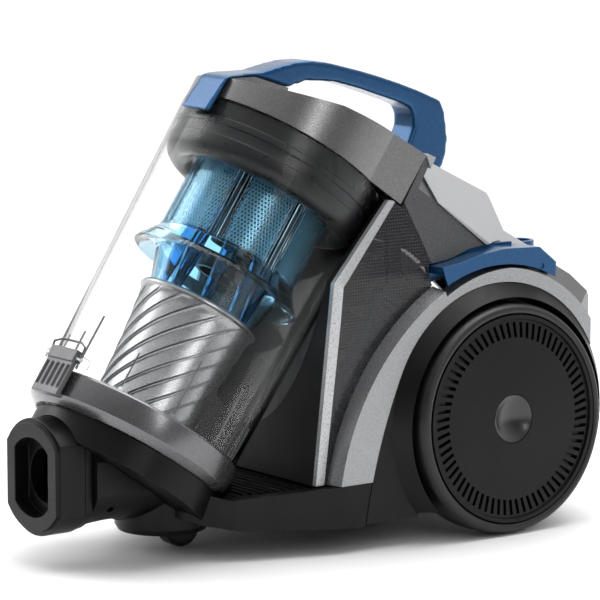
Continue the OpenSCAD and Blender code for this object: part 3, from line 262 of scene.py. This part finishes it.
def crease_group(angle):
    """Geometry nodes that shade smooth, apart from edges that turn by more than angle degrees."""
    g = bpy.data.node_groups.new(f"crease_{angle:g}", "GeometryNodeTree")
    g.interface.new_socket("Geometry", in_out="INPUT", socket_type="NodeSocketGeometry")
    g.interface.new_socket("Geometry", in_out="OUTPUT", socket_type="NodeSocketGeometry")
    start, end = g.nodes.new("NodeGroupInput"), g.nodes.new("NodeGroupOutput")
    faces, edges = g.nodes.new("GeometryNodeSetShadeSmooth"), g.nodes.new("GeometryNodeSetShadeSmooth")
    edges.domain = "EDGE"
    edges.inputs["Shade Smooth"].default_value = False
    turn, above = g.nodes.new("GeometryNodeInputMeshEdgeAngle"), g.nodes.new("FunctionNodeCompare")
    above.operation = "GREATER_THAN"
    above.inputs[1].default_value = math.radians(angle)
    g.links.new(turn.outputs[0], above.inputs[0])
    g.links.new(above.outputs[0], edges.inputs["Selection"])
    g.links.new(start.outputs[0], faces.inputs["Geometry" if "Geometry" in faces.inputs else 0])
    g.links.new(faces.outputs[0], edges.inputs["Geometry" if "Geometry" in edges.inputs else 0])
    g.links.new(edges.outputs[0], end.inputs[0])
    return g


creases = {}


WELD_GAP, FLAT_TURN = 0.00001, math.radians(0.4)


def weld(name, mat):
    """Gives a CAD node its material and joins its triangles, so that modifiers can round its edges."""
    o = frame["nodes"][name]
    paint(o, mat)
    baked = o.data.attributes.get("custom_normal")
    if baked:
        o.data.attributes.remove(baked)
    o.modifiers.new("weld", "WELD").merge_threshold = WELD_GAP
    return o


def dress(name, mat, bevel=0.0, segments=2, angle=28.0, smooth=18.0):
    """Gives a CAD node its material, and softens its edges as a moulding's are."""
    o = weld(name, mat)
    d = o.modifiers.new("flat", "DECIMATE")
    d.decimate_type = "DISSOLVE"
    d.angle_limit = FLAT_TURN
    if smooth not in creases:
        creases[smooth] = crease_group(smooth)
    o.modifiers.new("creases", "NODES").node_group = creases[smooth]
    if bevel:
        e = o.modifiers.new("edges", "BEVEL")
        e.width, e.segments = bevel, segments
        e.limit_method, e.angle_limit = "ANGLE", math.radians(angle)
        e.harden_normals = True
        e.use_clamp_overlap = True
        e.miter_outer = "MITER_ARC"


def melt(name, mat, voxel=0.0014, rounds=12):
    """Gives a CAD node its material and rounds it all over, as a thick soft-edged moulding."""
    o = weld(name, mat)
    r = o.modifiers.new("skin", "REMESH")
    r.mode, r.voxel_size, r.use_smooth_shade = "VOXEL", voxel, True
    k = o.modifiers.new("soften", "SMOOTH")
    k.factor, k.iterations = 0.5, rounds


def add(name, mesh, mat, body, stands_for=(), angle=30.0, shadow=True):
    """Adds a visible piece that rides on body, in place of the CAD nodes it stands for."""
    o = bpy.data.objects.new(name, mesh)
    scene.collection.objects.link(o)
    paint(o, mat)
    shade(mesh, angle)
    o.visible_shadow = shadow
    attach(o, body)
    if stands_for:
        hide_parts(*stands_for)


def mesh_from(name, verts, faces):
    me = bpy.data.meshes.new(name)
    me.from_pydata([tuple(v) for v in verts], [], faces)
    me.validate()
    me.update()
    return me


def ring_mesh(name, profile, matrix, segments=160, closed=True, wave=None, turn=None):
    """Turns (radius, height) points round the Z axis of matrix. wave(radius, height, angle) may move the
    radius, and turn(height) twists the ring at that height."""
    verts, faces, n = [], [], len(profile)
    for k in range(segments):
        a = 2 * math.pi * k / segments
        for i, (r, h) in enumerate(profile):
            q = r if wave is None else wave(r, h, a)
            b = a if turn is None else a + turn(h)
            verts.append(matrix @ Vector((q * math.cos(b), q * math.sin(b), h)))
    edges = n if closed else n - 1
    for k in range(segments):
        k2 = (k + 1) % segments
        for i in range(edges):
            j = (i + 1) % n
            faces.append((k * n + i, k2 * n + i, k2 * n + j, k * n + j))
    me = mesh_from(name, verts, faces)
    bm = bmesh.new()
    bm.from_mesh(me)
    bmesh.ops.remove_doubles(bm, verts=bm.verts, dist=1e-7)
    bmesh.ops.recalc_face_normals(bm, faces=bm.faces)
    bm.to_mesh(me)
    bm.free()
    return me


def rounded(points, radius, steps=4):
    """Rounds the corners of a closed (radius, height) profile, by one radius or by one for each point."""
    out, n = [], len(points)
    for i, p in enumerate(points):
        r = radius[i] if isinstance(radius, (list, tuple)) else radius
        p = Vector(p)
        a, b = Vector(points[i - 1]) - p, Vector(points[(i + 1) % n]) - p
        r = min(r, a.length * 0.48, b.length * 0.48)
        if r <= 0.001:
            out.append(tuple(p))
            continue
        s, e = p + a.normalized() * r, p + b.normalized() * r
        for k in range(steps + 1):
            t = k / steps
            q = s * (1 - t) ** 2 + p * 2 * t * (1 - t) + e * t * t
            out.append((max(q.x, 0.0), q.y))
    return out


def box_mesh(bm, lo, hi, matrix, bevel=0.0, segments=2):
    """Adds a block with rounded edges to bm. Its corners are given in matrix's frame."""
    part = bmesh.new()
    bmesh.ops.create_cube(part, size=1.0)
    lo, hi = Vector(lo), Vector(hi)
    for v in part.verts:
        v.co = Vector((lo[i] + (v.co[i] + 0.5) * (hi[i] - lo[i]) for i in range(3)))
    if bevel:
        bmesh.ops.bevel(part, geom=part.edges[:], offset=bevel, segments=segments, profile=0.5,
                        affect="EDGES")
    part.transform(matrix)
    me = bpy.data.meshes.new("part")
    part.to_mesh(me)
    part.free()
    bm.from_mesh(me)
    bpy.data.meshes.remove(me)


def finish_bm(bm, name):
    me = bpy.data.meshes.new(name)
    bmesh.ops.recalc_face_normals(bm, faces=bm.faces)
    bm.to_mesh(me)
    bm.free()
    return me


def tube_along(name, points, radius, segments=10):
    """A round rod of radius along points, with closed ends."""
    verts, faces, up = [], [], Vector((0, 0, 1))
    for i, p in enumerate(points):
        t = (points[min(i + 1, len(points) - 1)] - points[max(i - 1, 0)]).normalized()
        x = t.cross(up)
        x = x.normalized() if x.length > 1e-4 else t.cross(Vector((1, 0, 0))).normalized()
        y = t.cross(x)
        for k in range(segments):
            a = 2 * math.pi * k / segments
            verts.append(p + (x * math.cos(a) + y * math.sin(a)) * radius)
    for i in range(len(points) - 1):
        for k in range(segments):
            k2 = (k + 1) % segments
            low, high = i * segments, (i + 1) * segments
            faces.append((low + k, low + k2, high + k2, high + k))
    faces.append(tuple(range(segments)))
    faces.append(tuple(len(verts) - 1 - k for k in range(segments)))
    return mesh_from(name, verts, faces)


# ---------------------------------------------------------------- frames of the moving groups
joints = {j["name"]: j for j in frame["joints"]}
lift = Vector(joints["bin_lift"]["axis"]).normalized()
across = Vector((0, lift.z, -lift.y))


def local_extent(name, matrix):
    """Lowest and highest corner of a CAD node, seen in the frame of matrix."""
    inv = matrix.inverted()
    pts = [inv @ v.co for v in frame["nodes"][name].data.vertices]
    return (Vector((min(p[i] for p in pts) for i in range(3))),
            Vector((max(p[i] for p in pts) for i in range(3))))


def frame_matrix(x, y, z, at):
    """A frame in millimetres with the axes x, y and z, and its origin at a place in metres."""
    m = Matrix((x, y, z)).transposed().to_4x4()
    m.translation = at
    return m @ Matrix.Scale(MM, 4)


# The bin's frame: Z runs up its axis, from the bottom of its clear wall
CAD = Matrix.Scale(MM, 4)
leaning = frame_matrix(Vector((1, 0, 0)), across, lift, Vector((0, 0, 0)))
shroud_lo, shroud_hi = local_extent("mesh_shroud", leaning)
bin_foot = local_extent("clear_bin", leaning)[0].z
BIN = leaning @ Matrix.Translation((0, (shroud_lo.y + shroud_hi.y) / 2, bin_foot))


def bin_extent(name):
    return local_extent(name, BIN)


bin_wall_r, _, bin_h = bin_extent("clear_bin")[1]


def wheel_matrix(side):
    """Frame of a wheel: its origin is on the axle, and Z points outwards."""
    j = joints[f"wheel_{side}_spin"]
    z = Vector(j["axis"]).normalized() * (1 if side == "left" else -1)
    y = Vector((0, 1, 0))
    x = y.cross(z)
    return frame_matrix(x, y, z, Vector(j["pos_m"]))


# ---------------------------------------------------------------- wheels
DISH_STEPS = 14
for side in ("left", "right"):
    W = wheel_matrix(side)
    R, _, half = local_extent(f"tyre_{side}", W)[1]
    rim = local_extent(f"wheel_disc_{side}", W)[1].x
    tyre_profile = rounded([
        (rim + 0.1, -half), (R - 2.0, -half + 0.2), (R - 0.15, -half + 4.5), (R, -half + 10),
        (R, half - 10), (R - 0.15, half - 5.4), (R - 2.2, half - 1.2), (R - 4.6, half - 0.1),
        (rim + 1.6, half - 0.6), (rim + 0.7, half - 2.6), (rim + 0.1, half - 2.8)
    ], [0.5, 2, 2, 2, 2, 2, 2, 1.6, 0.6, 0.3, 0.2], 3)
    add(f"tyre_tread_{side}", ring_mesh("tyre", tyre_profile, W, 224), TYRE, f"wheel_{side}",
        [f"tyre_{side}"], 40)
    dress(f"wheel_disc_{side}", WHEEL)
    hub_lo, hub_hi = local_extent(f"hub_cap_{side}", W)
    hub_r, z0, z1 = hub_hi.x, hub_lo.z, hub_hi.z
    # the hub's face is a shallow bowl, deepest in the middle
    dish = [(hub_r - 0.15, z0), (hub_r - 0.15, z1 - 0.5), (hub_r - 0.6, z1 - 0.05)]
    bowl_r, bowl_deep = hub_r - 1.2, z1 - z0 - 1.2
    for k in range(1, DISH_STEPS + 1):
        r = bowl_r * (1 - k / DISH_STEPS)
        dish.append((r, z1 - 0.1 - bowl_deep * (1 - (r / bowl_r) ** 2)))
    dish += [(0.0, z0)]
    add(f"hub_dish_{side}", ring_mesh("hub", dish, W, 96, closed=False), HUB, f"wheel_{side}",
        [f"hub_cap_{side}"], 35)

# ---------------------------------------------------------------- caster
dress("caster_fork", BLACK, 0.0004)
dress("caster_axle", STEEL)
dress("caster_wheel", TYRE, 0.0006, 3)

# ---------------------------------------------------------------- black body
for n in ("chassis_base", "front_cover", "snout_duct", "inlet_collar"):
    dress(n, BLACK, 0.0007, 3, 26)
dress("ribbed_deck", BLACK, 0.0003)
for side in ("left", "right"):
    dress(f"arch_panel_{side}", BLACK, 0.0006, 2)
    dress(f"arch_trim_{side}", SILVER)
    dress(f"side_strip_{side}", SILVER_LIGHT)
    dress(f"side_window_{side}", SMOKE)
    dress(f"exhaust_filter_{side}", FILTER_BLUE, 0.0003)
    dress(f"pedal_{side}", BLUE, 0.0009, 3)
    dress(f"axle_{side}", STEEL)
dress("upper_shell", GREY, 0.0006, 2)
dress("top_panel", PALE, 0.0009, 3)
dress("bin_cradle", BLACK_DEEP, 0.0004)
dress("rear_grille", BLACK, 0.0003)
for n, m in (("inlet_seal", SEAL), ("air_duct", BLACK), ("motor_housing", BLACK), ("motor_can", STEEL),
             ("motor_mount_front", SEAL), ("motor_mount_rear", SEAL), ("fan_wheel", ALLOY),
             ("circuit_board", BOARD), ("cord_reel", BLACK), ("reel_axle", STEEL), ("cord_gland", SEAL),
             ("pedal_pins", BLUE), ("floor_hinge_pin", STEEL), ("latch_pin", STEEL),
             ("cover_screws", STEEL), ("floor_seal", SEAL), ("bin_filter", FELT)):
    dress(n, m)
dress("suction_knob", BLUE, 0.0006, 3)

# foot of the rear grille: slats along the part of the wall that slopes in below the plate
grille_lo, grille_hi = local_extent("rear_grille", CAD)
axle_at = joints["wheel_left_spin"]["pos_m"][2] / MM
WALL_IN, WALL_DROP, WALL_FOOT = 8, 50, 16
SLAT, GRILLE_T, GRILLE_INSET, FRAME_W = 4.0, 2.6, 0.6, 9.0
slope = Vector((0, WALL_IN, WALL_DROP)).normalized()
FOOT = frame_matrix(Vector((1, 0, 0)), Vector((0, slope.z, -slope.y)), slope,
                    Vector((0, grille_hi.y + 0.4 - WALL_IN, axle_at - WALL_FOOT)) * MM)
bm = bmesh.new()
back, face = -GRILLE_INSET - GRILLE_T, -GRILLE_INSET
box_mesh(bm, (grille_lo.x, back, -1.6), (grille_hi.x, face, 2 * SLAT - 2), FOOT, 0.3)
for k in range(2):
    low = (3 + 2 * k) * SLAT - 2
    box_mesh(bm, (grille_lo.x + 1, back, low), (grille_hi.x - 1, face, low + SLAT), FOOT, 0.3)
for s in (-1, 1):
    inner, outer = s * (grille_hi.x - FRAME_W), s * grille_hi.x
    box_mesh(bm, (min(inner, outer), back + 0.1, 0), (max(inner, outer), face + 0.05, 27), FOOT, 0.3)
add("grille_foot", finish_bm(bm, "grille_foot"), BLACK, "canister")

# short bosses round the rear screws, where the base slopes up
screw_lo, screw_hi = local_extent("cover_screws", CAD)
screws = frame["nodes"]["cover_screws"].data.vertices
rear_heads = [v.co / MM for v in screws if v.co.y > (screw_hi.y - 2) * MM]
HEAD_R, SHANK_R, HEAD_T, BOSS_H = 4.0, 2.1, 2.4, 7.0
boss_z = screw_lo.z + HEAD_T + 0.1
boss = rounded([(SHANK_R, boss_z), (HEAD_R + 1.6, boss_z), (HEAD_R + 2.2, boss_z + BOSS_H),
                (SHANK_R, boss_z + BOSS_H)], 0.4)
for side, s in (("left", 1), ("right", -1)):
    head_x = [v.x for v in rear_heads if v.x * s > 0]
    at = CAD @ Matrix.Translation(((min(head_x) + max(head_x)) / 2, screw_hi.y - HEAD_R, 0))
    add(f"screw_boss_{side}", ring_mesh("boss", boss, at, 48), BLACK, "canister")

# ---------------------------------------------------------------- bin
cone_lo, cone_hi = bin_extent("cyclone_cone")
cone_top, cone_foot, cone_r = cone_hi.z, cone_lo.z, cone_hi.x
FLUTES, TWIST, STEPS = 16, math.radians(150), 48
FLUTE_DEPTH, BEAD, BEAD_SHARE = 1.7, 1.1, 0.22
WAIST_R, LIP_H, LIP_PROUD = 38.2, 3.2, 1.2
PIPE_R = 34.5


def cone_radius(h):
    """The cone is slim below and flares towards its lip."""
    t = (h - cone_foot) / (cone_top - cone_foot)
    return WAIST_R + (cone_r - LIP_PROUD - WAIST_R) * max(0.0, t) ** 2.3


def cone_turn(h):
    return TWIST * min(1.0, max(0.0, (h - cone_foot) / (cone_top - cone_foot)))


def flute(r, h, a):
    """A slow ramp outwards round each flute, which ends in a thin rounded bead."""
    if h > cone_top - LIP_H or r < PIPE_R + 1.5:
        return r
    phase = (a * FLUTES / (2 * math.pi)) % 1.0
    fade = min(1.0, (cone_top - LIP_H - h) / 4.0)
    bead = BEAD * math.sin(math.pi * phase / BEAD_SHARE) if phase < BEAD_SHARE else 0.0
    return r - (FLUTE_DEPTH * (1 - phase) - bead) * fade


heights = [cone_foot + (cone_top - LIP_H - cone_foot) * k / STEPS for k in range(STEPS + 1)]
outer = [(cone_radius(h), h) for h in heights]
lip = [(cone_r - 1.0, cone_top - 2.6), (cone_r, cone_top - 1.8), (cone_r, cone_top - 0.5),
       (cone_r - 0.5, cone_top), (cone_r - 2.2, cone_top), (cone_r - 2.8, cone_top - 0.8),
       (cone_r - 3.6, cone_top - 3)]
inner = [(PIPE_R, cone_foot + 30), (PIPE_R, cone_foot + 0.2)]
fluted = ring_mesh("cone", outer + lip + inner, BIN, FLUTES * 32, wave=flute, turn=cone_turn)
add("cone_fluted", fluted, CONE, "bin", ["cyclone_cone"], 32)

# blue skirt that flares out under the mesh
skirt_r = bin_extent("shroud_skirt")[1].x
mesh_lo, mesh_hi = bin_extent("mesh_shroud")
skirt_top, mesh_r, mesh_top = mesh_lo.z, mesh_hi.x, mesh_hi.z
skirt_z = skirt_top - 16
skirt_profile = rounded([
    (cone_r - 8.2, cone_top + 0.1), (cone_r - 1, cone_top + 0.1), (cone_r - 1, cone_top + 1.2),
    (cone_r - 6, cone_top + 1.2), (mesh_r - 4.4, skirt_z + 5.4), (skirt_r - 2, skirt_z - 0.8),
    (skirt_r - 0.1, skirt_z), (skirt_r - 2, skirt_z + 3.6), (mesh_r + 4.5, skirt_z + 10),
    (mesh_r, skirt_top), (mesh_r - 2.8, skirt_top), (mesh_r - 6.6, skirt_z + 8)
], [0.3, 0.3, 0.3, 0.5, 2.5, 0.8, 0.4, 1.6, 4, 0.6, 0.5, 2], 4)
add("skirt_blue", ring_mesh("skirt", skirt_profile, BIN, 192), BLUE_CLEAR, "bin", ["shroud_skirt"],
    50, shadow=False)

CORNERS = 8


def perforated(name, r, z0, z1, columns, rows, matrix, start, sweep, share=0.74):
    """A thin curved panel with a staggered grid of round holes."""
    verts, faces = [], []
    step, dz = sweep / (columns + 0.5), (z1 - z0) / rows
    for q, flip in ((r, False), (r - 0.9, True)):
        for i in range(rows):
            for k in range(columns):
                a, z = start + (k + 0.5 + (0.5 if i % 2 else 0.0)) * step, z0 + (i + 0.5) * dz
                base = len(verts)
                for size, square in ((0.5, True), (0.5 * share, False)):
                    for n in range(CORNERS):
                        ang = (2 * n + 1) * math.pi / CORNERS
                        x, y = math.cos(ang), math.sin(ang)
                        m = max(abs(x), abs(y)) if square else 1.0
                        b, h = a + x / m * size * step, z + y / m * size * dz
                        verts.append(matrix @ Vector((q * math.cos(b), q * math.sin(b), h)))
                for n in range(CORNERS):
                    n2 = (n + 1) % CORNERS
                    f = (base + n, base + n2, base + CORNERS + n2, base + CORNERS + n)
                    faces.append(f[::-1] if flip else f)
    return mesh_from(name, verts, faces)


POSTS, COLUMNS, ROWS, BAND = 7, 13, 19, 2.8
PANEL = 2 * math.pi / POSTS
for k in range(POSTS):
    panel = perforated("mesh", mesh_r - 0.5, skirt_top + BAND - 0.2, mesh_top - BAND + 0.2, COLUMNS, ROWS,
                       BIN, PANEL * (k + 0.13), PANEL * 0.74)
    add(f"mesh_panel_{k}", panel, MESH_BLUE, "bin", ["mesh_shroud"] if k == 0 else [], 60)
bm = bmesh.new()
for k in range(POSTS):
    for share, wide in ((0.0, 2.0), (0.115, 0.8), (0.885, 0.8)):
        turn = Matrix.Rotation(PANEL * (k + share), 4, "Z")
        box_mesh(bm, (mesh_r - 2.6, -wide, skirt_top + 0.2), (mesh_r - 0.05, wide, mesh_top - 0.2),
                 BIN @ turn, 0.4)
add("mesh_posts", finish_bm(bm, "posts"), BLUE_CLEAR, "bin", shadow=False)
for name, low in (("mesh_band_low", skirt_top), ("mesh_band_high", mesh_top - BAND)):
    in_r, out_r, high = mesh_r - 2.0, mesh_r - 0.1, low + BAND
    band = rounded([(in_r, low), (out_r, low), (out_r, high), (in_r, high)], 0.5)
    add(name, ring_mesh(name, band, BIN, 160), BLUE_CLEAR, "bin", shadow=False)

# small cyclone cones inside the shroud
CONES, CONE_RING_R = 8, 32.5
prof = [(8.5, mesh_top - 1), (8.8, mesh_top - 12), (8.2, mesh_top - 22), (5.6, skirt_z + 10),
        (3.4, cone_top + 12), (2.6, cone_top + 4), (1.8, cone_top + 4), (2.6, cone_top + 13),
        (4.6, skirt_z + 10), (7.2, mesh_top - 22), (7.6, mesh_top - 12), (7.4, mesh_top - 1)]
bm = bmesh.new()
for k in range(CONES):
    a = 2 * math.pi * (k + 0.2) / CONES
    at = BIN @ Matrix.Translation((CONE_RING_R * math.cos(a), CONE_RING_R * math.sin(a), 0))
    me = ring_mesh("c", rounded(prof, 2.0, 3), at, 40)
    bm.from_mesh(me)
    bpy.data.meshes.remove(me)
add("inner_cones", finish_bm(bm, "cones"), BLUE_DEEP, "bin", angle=50, shadow=False)

pipe = [(17, skirt_z + 4), (17, mesh_top - 0.2), (14, mesh_top - 0.2), (14, skirt_z + 4)]
add("outlet_pipe", ring_mesh("pipe", pipe, BIN, 64), BOWL, "bin")

# filter bowl: a sagging floor inside the wall, then a grooved band up to the cap
br, _, bowl_top = bin_extent("filter_housing")[1]
low_r, bowl_z = (mesh_r + bin_wall_r) / 2, mesh_top
bowl = rounded([
    (13, bowl_z + 0.1), (mesh_r + 1.5, bowl_z + 0.1), (low_r - 7, bowl_z - 5.5), (low_r, bowl_z - 7.9),
    (low_r + 6, bowl_z - 5.5), (br - 0.9, bowl_z - 0.4), (br - 0.3, bowl_z + 8),
    (br - 0.9, bowl_z + 8.6), (br - 0.9, bowl_z + 16), (br - 0.1, bowl_z + 16.6),
    (br - 0.1, bowl_z + 21), (br - 0.7, bowl_z + 21.6), (br - 0.2, bowl_top), (br - 4, bowl_top),
    (br - 4, bowl_z + 4), (low_r, bowl_z - 4.8), (mesh_r, bowl_z + 2.4), (13, bowl_z + 2.4)
], [0.2, 2, 4, 6, 5, 4, 0.3, 0.3, 0.3, 0.3, 0.3, 0.3, 0.4, 0.4, 4, 5, 3, 0.2], 4)
add("filter_bowl", ring_mesh("bowl", bowl, BIN, 192), BOWL, "bin", ["filter_housing"], 40)

# clear bin wall, a little wider at the top
ring_lo, ring_hi = bin_extent("bin_floor")
ring_r = ring_hi.x
WALL, FLARE = 2.4, math.radians(1.45)
top_r = bin_wall_r
foot_r = top_r - bin_h * math.tan(FLARE)


def wall_r(share):
    return foot_r + (top_r - foot_r) * share


wall = rounded([
    (foot_r - WALL, 0.2), (foot_r, 0.2), (wall_r(0.35), bin_h * 0.35), (wall_r(0.7), bin_h * 0.7),
    (top_r, bin_h - 0.1), (top_r - WALL, bin_h - 0.1), (wall_r(0.7) - WALL, bin_h * 0.7),
    (wall_r(0.35) - WALL, bin_h * 0.35)
], [0.4, 0.4, 0, 0, 0.4, 0.4, 0, 0], 3)
add("bin_wall", ring_mesh("wall", wall, BIN, 224), CLEAR, "bin", ["clear_bin"], 50,
    shadow=False)

# ears of the latch and of the floor hinge, clear like the wall
latch = sum(bin_extent("latch_pin"), Vector((0, 0, 0))) / 2
hinge = sum(bin_extent("floor_hinge_pin"), Vector((0, 0, 0))) / 2
bm = bmesh.new()
for s in (-1, 1):
    box_mesh(bm, (s * 18.6 - 1.8, latch.y - 2.8, latch.z - 3.4), (s * 18.6 + 1.8, 3 - foot_r, latch.z + 3.4),
             BIN, 0.7)
    box_mesh(bm, (s * 13 - 2.8, foot_r - 1.5, 0.4), (s * 13 + 2.8, hinge.y + 0.2, hinge.z + 5.6), BIN, 0.9)
add("bin_ears", finish_bm(bm, "ears"), CLEAR, "bin", shadow=False)

# thin upright ribs on the inside of the wall, short and tall in turn
RIBS = 11
bm = bmesh.new()
for k in range(RIBS):
    turn = Matrix.Rotation(2 * math.pi * (k + 0.4) / RIBS, 4, "Z")
    tall = 30 if k % 2 else 46
    box_mesh(bm, (foot_r - WALL - 1.4, -0.35, 3), (foot_r - WALL + 0.2, 0.35, tall), BIN @ turn)
add("bin_ribs", finish_bm(bm, "ribs"), RIB, "bin")

half_hook = [(12, latch.y - 0.6, latch.z + 12.5), (19.2, latch.y - 1.2, latch.z + 9.5),
             (19.2, latch.y, latch.z + 2.6)]
hook = [(-x, y, z) for x, y, z in reversed(half_hook)] + half_hook
add("latch_bracket", tube_along("bracket", [BIN @ Vector(p) for p in hook], 0.9 * MM), RIB, "bin")

# floor ring
z_top, z_low = -0.4, ring_lo.z
floor_profile = rounded([
    (19.3, z_low + 6), (ring_r - 12, z_low + 6.0), (ring_r - 8, z_low), (ring_r - 7, z_low),
    (ring_r, z_low + 6), (ring_r, z_top - 1.6), (ring_r - 0.9, z_top), (foot_r + 0.4, z_top),
    (foot_r - 5, z_top - 1), (foot_r - 5.2, z_low + 13), (19.3, z_low + 13)
], [0.5, 1, 0.6, 0.8, 0.5, 0.4, 0.4, 0.4, 0.6, 0.6, 0.4], 3)
add("floor_ring", ring_mesh("floor", floor_profile, BIN, 208), RING, "bin", ["bin_floor"], 35)
bm = bmesh.new()
box_mesh(bm, (-9.4, ring_r - 3.5, -10), (9.4, hinge.y + 3.4, hinge.z + 3.4), BIN, 1.2, 3)
add("floor_knuckle", finish_bm(bm, "knuckle"), RING, "bin")

dress("bin_cap", CAP_GREY, 0.0007, 3, 20, 9)
melt("handle", BLUE)
melt("bin_latch", LATCH, 0.0005, 3)
dress("release_button", CHROME, 0.0008, 3)

# ---------------------------------------------------------------- stage
GROUND = 30
corners = [(-GROUND, -GROUND, 0), (GROUND, -GROUND, 0), (GROUND, GROUND, 0), (-GROUND, GROUND, 0)]
floor_mesh = mesh_from("floor", corners, [(0, 1, 2, 3)])
floor = bpy.data.objects.new("floor", floor_mesh)
scene.collection.objects.link(floor)
fm, fnt, fb = material("studio_floor")
tint(fnt, fb, spread(fnt, noise(fnt, 3.0, 2), 0, 1), (0.90, 0.90, 0.90), (0.92, 0.92, 0.92))
fb.inputs["Roughness"].default_value = 0.6
paint(floor, fm)

world = bpy.data.worlds.new("studio")
scene.world = world
world.use_nodes = True
wnt = world.node_tree
sky = wnt.nodes["Background"]
sky.inputs[0].default_value = (1, 1, 1, 1)
toward = wnt.nodes.new("ShaderNodeVectorMath")
toward.operation = "DOT_PRODUCT"
toward.inputs[1].default_value = Vector((-0.62, 0.55, 0.56)).normalized()
wnt.links.new(wnt.nodes.new("ShaderNodeTexCoord").outputs["Generated"], toward.inputs[0])
wnt.links.new(spread(wnt, toward.outputs["Value"], 0.22, 1.0, -0.35, 0.45), sky.inputs[1])


def softbox(name, at, aim, size, power, colour=(1, 1, 1)):
    d = bpy.data.lights.new(name, "AREA")
    d.shape, d.size, d.size_y, d.energy, d.color = "RECTANGLE", size[0], size[1], power, colour
    o = bpy.data.objects.new(name, d)
    scene.collection.objects.link(o)
    o.location = at
    o.rotation_mode = "QUATERNION"
    o.rotation_quaternion = (Vector(aim) - Vector(at)).to_track_quat("-Z", "Y")
    return o


middle = (cad_lo + cad_hi) / 2
softbox("top", (0.1, 0.4, 1.9), middle, (1.6, 1.6), 22)
softbox("left_back", (-1.6, -0.9, 1.3), middle, (1.0, 1.6), 16)
softbox("right_front", (2.0, -0.3, 1.2), middle, (0.35, 1.2), 7)
softbox("floor_wash", (0.6, -0.6, 2.4), (0.6, -0.7, 0), (3.0, 3.0), 8)
sun = bpy.data.lights.new("daylight", "SUN")
sun.energy, sun.angle = 1.0, math.radians(70)
sun_object = bpy.data.objects.new("daylight", sun)
scene.collection.objects.link(sun_object)
sun_object.rotation_mode = "QUATERNION"
sun_object.rotation_quaternion = Vector((0.35, -0.25, -1)).to_track_quat("-Z", "Y")

camera = bpy.data.cameras.new("camera")
camera.lens, camera.sensor_width = 234.22, 36.0
camera.clip_start, camera.clip_end = 0.05, 100
cam = bpy.data.objects.new("camera", camera)
scene.collection.objects.link(cam)
azimuth, elevation, distance = math.radians(52.99), math.radians(8.93), 2.8706
target = Vector((0.0, 0.00588, 0.1691))
level = math.cos(elevation)
away = Vector((math.sin(azimuth) * level, -math.cos(azimuth) * level, math.sin(elevation)))
cam.location = target + away * distance
cam.rotation_mode = "QUATERNION"
cam.rotation_quaternion = (-away).to_track_quat("-Z", "Y")
scene.camera = cam
scene.view_settings.view_transform = "Standard"
